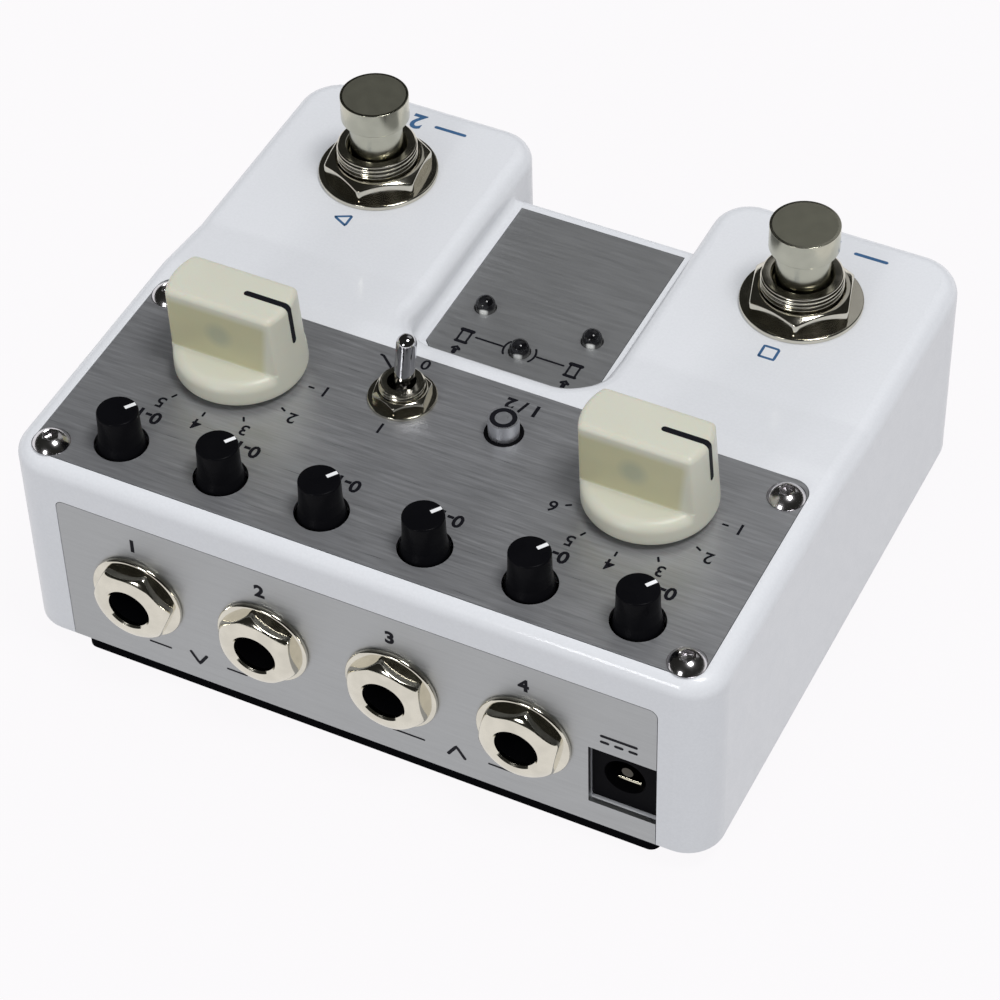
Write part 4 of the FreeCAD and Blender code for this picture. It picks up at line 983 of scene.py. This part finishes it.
class PEDAL_OT_selectors(bpy.types.Operator):
    """Cream selector knobs with a finger bar, and the black line over top and nose"""
    bl_idname = "pedal.selectors"
    bl_label = "Selectors"

    def execute(self, context):
        size, index = sizes(), marks().index
        for side in SIDES:
            node = side + "_selector_knob"
            x, y, _ = middle_of(node)
            foot, top = level(node, high=False), level(node)
            sockets = [(3.1 * MM, level(side + "_selector_shaft") + 0.1 * MM), (7.0 * MM, DECK + 3.0 * MM)]
            rings = selector_rings(size, foot, top, sockets)
            knob = skin(node + "_body", stand(rings, (x, y, 0)), side + "_cream")
            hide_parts(node)
            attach(knob, side + "_selector")
            nose = size.selector_top - size.selector_lean
            slope = (size.selector - size.selector_top + size.selector_lean) / (top - foot)
            start, drop = 1.5 * MM, 6.6 * MM
            profile = dense(rounded([(start, top), (nose, top), (nose + slope * drop, top - drop)],
                                    [size.selector_round], 10), 0.35 * MM, index)
            path = np.insert(profile * (-1, 1) + (x, 0), 1, y, axis=1)
            outward, upward = headings(profile).T
            normal = np.stack([upward, 0 * upward, outward], axis=1)
            strip = ribbon_rings(path - normal * 0.03 * MM, normal, index, 0.05 * MM, np.array([0, 1.0, 0]))
            line = skin(side + "_selector_line", strip, "dark_ink")
            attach(line, side + "_selector")
        return {"FINISHED"}


class PEDAL_OT_lamps(bpy.types.Operator):
    """Clear domed lamps, coloured dark for their black base and partly as painted shade inside, with a
    painted highlight where light would gather at each dome's foot
    """
    bl_idname = "pedal.lamps"
    bl_label = "Lamps"

    def execute(self, context):
        # The lens's dark colour and hazy tone are partly the lamp's black base and partly painted shade
        # inside it, seen through the clear dome.
        tree, shader = new_material("light_lens", (0.03, 0.03, 0.035), 0.06, Specular_IOR_Level=0.35)
        haze = noise(tree, 700)
        # Painted highlight: a fixed bright crescent at the front of each dome's foot stands for light
        # gathered through the clear lens; it is no lamp.
        painted_crescent_node = tree.nodes.new("ShaderNodeAttribute")
        painted_crescent_node.attribute_name = "gathered"
        inside = shaded(tree, ranged(tree, haze, 0.4, 0.65, 0, 1), (0.004, 0.004, 0.005), (0.02, 0.02, 0.022))
        feed(tree, shader, Base_Color=shaded(tree, painted_crescent_node.outputs["Fac"], inside, (1.0, 1.0, 0.96)),
             Roughness=gloss(tree, haze, 0.03, 0.09))
        low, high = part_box("status_leds")
        radius = LAMP_RADIUS
        lamps = []
        for x, y in ((low.x + radius, low.y + radius), (high.x - radius, low.y + radius),
                     ((low.x + high.x) / 2, high.y - radius)):
            t = np.linspace(0, np.pi / 2, 28)
            dome = np.column_stack([radius * np.cos(t), high.z - radius + radius * np.sin(t)])
            profile = np.concatenate([[(0, low.z), (radius, low.z)], dome])
            lamp = turned("lamp", profile, x, y, "light_lens", 112)
            points = np.empty(len(lamp.data.vertices) * 3)
            lamp.data.vertices.foreach_get("co", points)
            across, forward, height = (points.reshape(-1, 3) - np.array([x, y, MIDDLE])).T
            # Mask of the painted highlight: the front side of each dome, near its foot.
            towards = np.clip((0.97 * forward - 0.24 * across) / radius, 0, 1)
            painted_crescent_mask = np.clip((towards - 0.7 - height / (3.4 * MM)) / 0.1, 0, 1)
            lamp.data.attributes.new("gathered", "FLOAT", "POINT").data.foreach_set("value", painted_crescent_mask)
            lamps.append(lamp)
        lamps = joined("lamps", lamps)
        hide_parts("status_leds")
        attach(lamps, "pedal")
        return {"FINISHED"}


class PEDAL_OT_printing(bpy.types.Operator):
    """Plain numbers, signs and lines on the plates and the lobes"""
    bl_idname = "pedal.printing"
    bl_label = "Printing"

    def execute(self, context):
        self.deck()
        self.jack_plate()
        self.lobes()
        self.light_plate()
        return {"FINISHED"}

    def deck(self):
        """Scales of the knobs and selectors, and the signs of toggle and button."""
        deck, digit = Printing("dark_ink", DECK), marks().digit
        for i in range(6):
            x, y, _ = middle_of("small_knob_%d" % (i + 1))
            deck.words("0-10", digit, x + 0.1 * MM, y - 6.1 * MM, 0.1)
        for side, count in zip(SIDES, (6, 5)):
            centre = middle_of(side + "_selector_knob")[:2]
            for k in range(count):
                angle = np.radians(180 - 30 * k)
                out = np.array([np.cos(angle), np.sin(angle)]) * MM
                deck.line([(centre + out * reach) / MM for reach in (10.7, 11.7)], marks().line)
                deck.words(str(k + 1), digit * 0.9, *(centre + out * 13.4), 0.05)
        x, y, _ = middle_of("toggle_washer")
        for text, shift in (("0", -7.2), ("1", 6.9)):
            deck.words(text, digit * 0.9, x, y + shift * MM, 0.05)
        deck.line([(15.0, 6.2), (14.4, 6.3), (11.6, 8.7)], 0.4 * MM)
        x, y, _ = middle_of("push_button_cap")
        deck.words("1 / 2", digit * 0.95, x, y - 5.6 * MM, 0.12)
        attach(joined("deck_printing", deck.things), "pedal")

    def jack_plate(self):
        """Numbers over the jacks, arrows under each pair and the sign for direct current."""
        jack, line = Printing("dark_ink", JACK_FACE, axis=1), marks().line
        number_height, arrow_height = 27.6 * MM, 8.4
        for i in range(4):
            x = middle_of("jack_socket_%d" % (i + 1))[0]
            jack.words(str(i + 1), marks().digit, x, number_height, 0.14)
        for left, right, tip in (((33.4, 29.7), (20.7, 17.3), -1), ((-5.8, -11.0), (-20.8, -26.0), 1)):
            for run in (left, right):
                jack.line([(x, arrow_height) for x in run], line)
            middle = (left[1] + right[0]) / 2
            base, point = arrow_height - tip * 1.1, arrow_height + tip * 1.1
            jack.line([(middle - 1.4, base), (middle, point), (middle + 1.4, base)], line * 1.5)
        for start, end, height in ((-37.9, -43.5, 22.9), (-37.9, -39.3, 21.7), (-40.0, -41.4, 21.7),
                                   (-42.1, -43.5, 21.7)):
            jack.line([(start, height), (end, height)], 0.5 * MM)
        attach(joined("jack_printing", jack.things), "pedal")

    def lobes(self):
        """A number between two lines and a plain sign on each lobe."""
        lobes, row, sign_row, r = Printing("blue_ink", LOBE), -43.6, -18.8, 1.15
        square = [(-r, -r), (r, -r), (r, r), (-r, r), (-r, -r)]
        triangle = [(-r, -r), (r, 0), (-r, r), (-r, -r)]
        for side, text, sign in zip(SIDES, ("1", "2"), (square, triangle)):
            x = middle_of(side + "_footswitch_plunger")[0]
            lobes.words(text, 3.2 * MM, x, row * MM, 0.12)
            for run in ((-8.4, -3.0), (3.0, 8.4)):
                lobes.line([(x / MM + shift, row) for shift in run], 0.6 * MM)
            lobes.line([(x / MM + a, sign_row + b) for a, b in sign], marks().line * 1.2)
        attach(joined("lobe_printing", lobes.things), "pedal")

    def light_plate(self):
        """Arcs and lines from the far lamp to a switch sign with an arrow on each side."""
        light, line = Printing("dark_ink", MIDDLE), marks().line
        low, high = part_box("status_leds")
        x, y = (low.x + high.x) / 2 / MM, (high.y - LAMP_RADIUS) / MM
        turn = np.radians(np.linspace(-38, 38, 14))
        for way in (-1, 1):
            light.line(np.column_stack([x + way * 2.45 * np.cos(turn), y + 2.45 * np.sin(turn)]), line)
            light.line([(x + way * 2.6, y), (x + way * 7.2, y)], line)
            cx, cy = x + way * 8.75, y + 0.5
            for run, width in (([(-1.2, -1.35), (1.2, -1.35)], 0.7), ([(-0.75, -1.2), (-0.75, 1.0)], 0.34),
                               ([(0.75, -1.2), (0.75, 1.0)], 0.34), ([(-1.1, 1.15), (1.1, 1.15)], 0.55),
                               ([(0, 3.9), (0, 2.7)], 0.7), ([(-0.7, 2.9), (0, 2.3), (0.7, 2.9)], 0.5)):
                light.line([(cx + a, cy + b) for a, b in run], width * MM)
        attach(joined("light_plate_printing", light.things), "pedal")


def mixed_surface(tree, output, *sockets):
    """Surface of a tree's output: a factor, the shader seen where it is 0 and the one where it is 1."""
    node = tree.nodes.new("ShaderNodeMixShader")
    for target, socket in zip(node.inputs, sockets):
        tree.links.new(socket, target)
    tree.links.new(node.outputs["Shader"], tree.nodes[output].inputs["Surface"])


class PEDAL_OT_stage(bpy.types.Operator):
    """Pale floor, even light, two softboxes, a dark ceiling for the metal and the camera"""
    bl_idname = "pedal.stage"
    bl_label = "Stage"

    def execute(self, context):
        self.sky(context.scene)
        self.floor()
        self.dark_room()
        self.softboxes(context.scene.pedal_studio)
        self.camera(context.scene)
        context.scene.view_settings.view_transform = "Standard"
        return {"FINISHED"}

    def sky(self, scene):
        """Even light from a world that the camera and mirrors see as plain white."""
        scene.world = bpy.data.worlds.new("studio_sky")
        scene.world.use_nodes = True
        tree = scene.world.node_tree
        even = set_sockets(tree.nodes["Background"], Color=(0.93, 0.95, 1.0, 1),
                           Strength=scene.pedal_studio.sky)
        seen = set_sockets(tree.nodes.new("ShaderNodeBackground"), Color=(1, 1, 1, 1), Strength=1.0)
        rays = tree.nodes.new("ShaderNodeLightPath").outputs
        direct = calculated(tree, "MAXIMUM", rays["Is Camera Ray"], rays["Is Glossy Ray"])
        direct = calculated(tree, "MAXIMUM", direct, rays["Is Transmission Ray"])
        mixed_surface(tree, "World Output", direct, even.outputs["Background"], seen.outputs["Background"])

    def floor(self):
        """Pale floor, grey to the light on the pedal and nearly white to camera and mirrors."""
        floor = self.card("floor", (0, 0, 0), 4.0, (0, 0, 0))
        tree = self.sheet_tree(floor, "floor_white")
        shader = set_sockets(tree.nodes["Principled BSDF"], Base_Color=(0.5, 0.5, 0.51, 1), Roughness=0.8)
        glow = set_sockets(tree.nodes.new("ShaderNodeEmission"), Color=(1, 0.985, 1, 1))
        rays = tree.nodes.new("ShaderNodeLightPath").outputs
        mirrored = calculated(tree, "MAXIMUM", rays["Is Glossy Ray"], rays["Is Transmission Ray"])
        direct = calculated(tree, "MAXIMUM", calculated(tree, "MULTIPLY", rays["Is Camera Ray"], 0.94),
                            calculated(tree, "MULTIPLY", mirrored, 0.85))
        mixed_surface(tree, "Material Output", direct, shader.outputs["BSDF"], glow.outputs["Emission"])

    def dark_room(self):
        """Dark dome and grey panel that only mirror-like surfaces see."""
        rows, columns = 24, 72
        rise, turn = np.meshgrid(np.radians(np.linspace(4, 90, rows)), around(columns), indexing="ij")
        dome = polar(np.cos(rise), turn, np.sin(rise)) * 1.75
        mesh = bpy.data.meshes.new("dark_room")
        mesh.from_pydata(dome.reshape(-1, 3).tolist(), [], ring_faces(rows, columns).tolist())
        room = new_object("dark_room", mesh)
        self.only_glossy(room, (0.022, 0.022, 0.02))
        panel = self.card("grey_panel", (-0.12, -0.95, 0.85), 0.75, (np.radians(48), 0, np.radians(-7)))
        self.only_glossy(panel, (0.4, 0.4, 0.4))

    def softboxes(self, studio):
        """Square lamps that look at the pedal."""
        for name, place, size, power in (("key_box", (-0.36, 0.05, 1.05), 0.3, studio.key),
                                         ("fill_box", (0.16, 0.92, 0.44), 0.22, studio.fill)):
            lamp = bpy.data.lights.new(name, "AREA")
            lamp.energy, lamp.size = power, size
            holder = new_object(name, lamp)
            holder.location = place
            aim = Vector((0, 0, 0.03)) - Vector(place)
            holder.rotation_euler = aim.to_track_quat("-Z", "Y").to_euler()

    def camera(self, scene):
        """Camera at the photographed angle."""
        studio = scene.pedal_studio
        camera = bpy.data.cameras.new("camera")
        camera.lens, camera.sensor_width = studio.lens, 36.0
        camera.clip_start, camera.clip_end = 0.01, 20.0
        holder = new_object("camera", camera)
        holder.location = studio.place
        holder.rotation_euler = Euler(studio.turn, "XYZ")
        scene.camera = holder

    def sheet_tree(self, sheet, name):
        """Puts a new material on a sheet of the stage and gives its tree."""
        material = bpy.data.materials.new(name)
        material.use_nodes = True
        sheet.data.materials.append(material)
        return material.node_tree

    def only_glossy(self, sheet, colour):
        """Gives a sheet an even glow that only mirror-like surfaces see."""
        for ray in ("visible_camera", "visible_diffuse", "visible_shadow", "visible_transmission"):
            setattr(sheet, ray, False)
        tree = self.sheet_tree(sheet, sheet.name)
        glow = set_sockets(tree.nodes.new("ShaderNodeEmission"), Color=(*colour, 1))
        tree.links.new(glow.outputs["Emission"], tree.nodes["Material Output"].inputs["Surface"])

    def card(self, name, place, side, turn):
        """Flat square of the stage, which isn't part of the pedal."""
        mesh = bpy.data.meshes.new(name)
        half = side / 2
        mesh.from_pydata([(-half, -half, 0), (half, -half, 0), (half, half, 0), (-half, half, 0)], [],
                         [(0, 1, 2, 3)])
        sheet = new_object(name, mesh)
        sheet.location = place
        sheet.rotation_euler = turn
        return sheet


class PEDAL_PT_panel(bpy.types.Panel):
    """Sidebar panel with the pedal's steps"""
    bl_idname = "PEDAL_PT_panel"
    bl_label = "Pedal"
    bl_space_type = "VIEW_3D"
    bl_region_type = "UI"
    bl_category = "Pedal"

    def draw(self, context):
        for step in STEPS:
            self.layout.operator(step.bl_idname)


STEPS = (PEDAL_OT_finishes, PEDAL_OT_plate_screws, PEDAL_OT_footswitches, PEDAL_OT_toggle,
         PEDAL_OT_push_button, PEDAL_OT_jack_hardware, PEDAL_OT_power_contacts, PEDAL_OT_small_knobs,
         PEDAL_OT_selectors, PEDAL_OT_lamps, PEDAL_OT_printing, PEDAL_OT_stage)
GROUPS = (("pedal_colours", PedalColours), ("pedal_hardware", HardwareSizes), ("pedal_marks", MarkSizes),
          ("pedal_studio", StudioSettings))


def register():
    for name, group in GROUPS:
        bpy.utils.register_class(group)
        setattr(bpy.types.Scene, name, bpy.props.PointerProperty(type=group))
    for step in STEPS:
        bpy.utils.register_class(step)
    bpy.utils.register_class(PEDAL_PT_panel)


def unregister():
    bpy.utils.unregister_class(PEDAL_PT_panel)
    for step in reversed(STEPS):
        bpy.utils.unregister_class(step)
    for name, group in reversed(GROUPS):
        delattr(bpy.types.Scene, name)
        bpy.utils.unregister_class(group)


def main():
    register()
    for step in STEPS:
        getattr(bpy.ops.pedal, step.bl_idname.split(".")[1])()


if __name__ == "__main__":
    main()
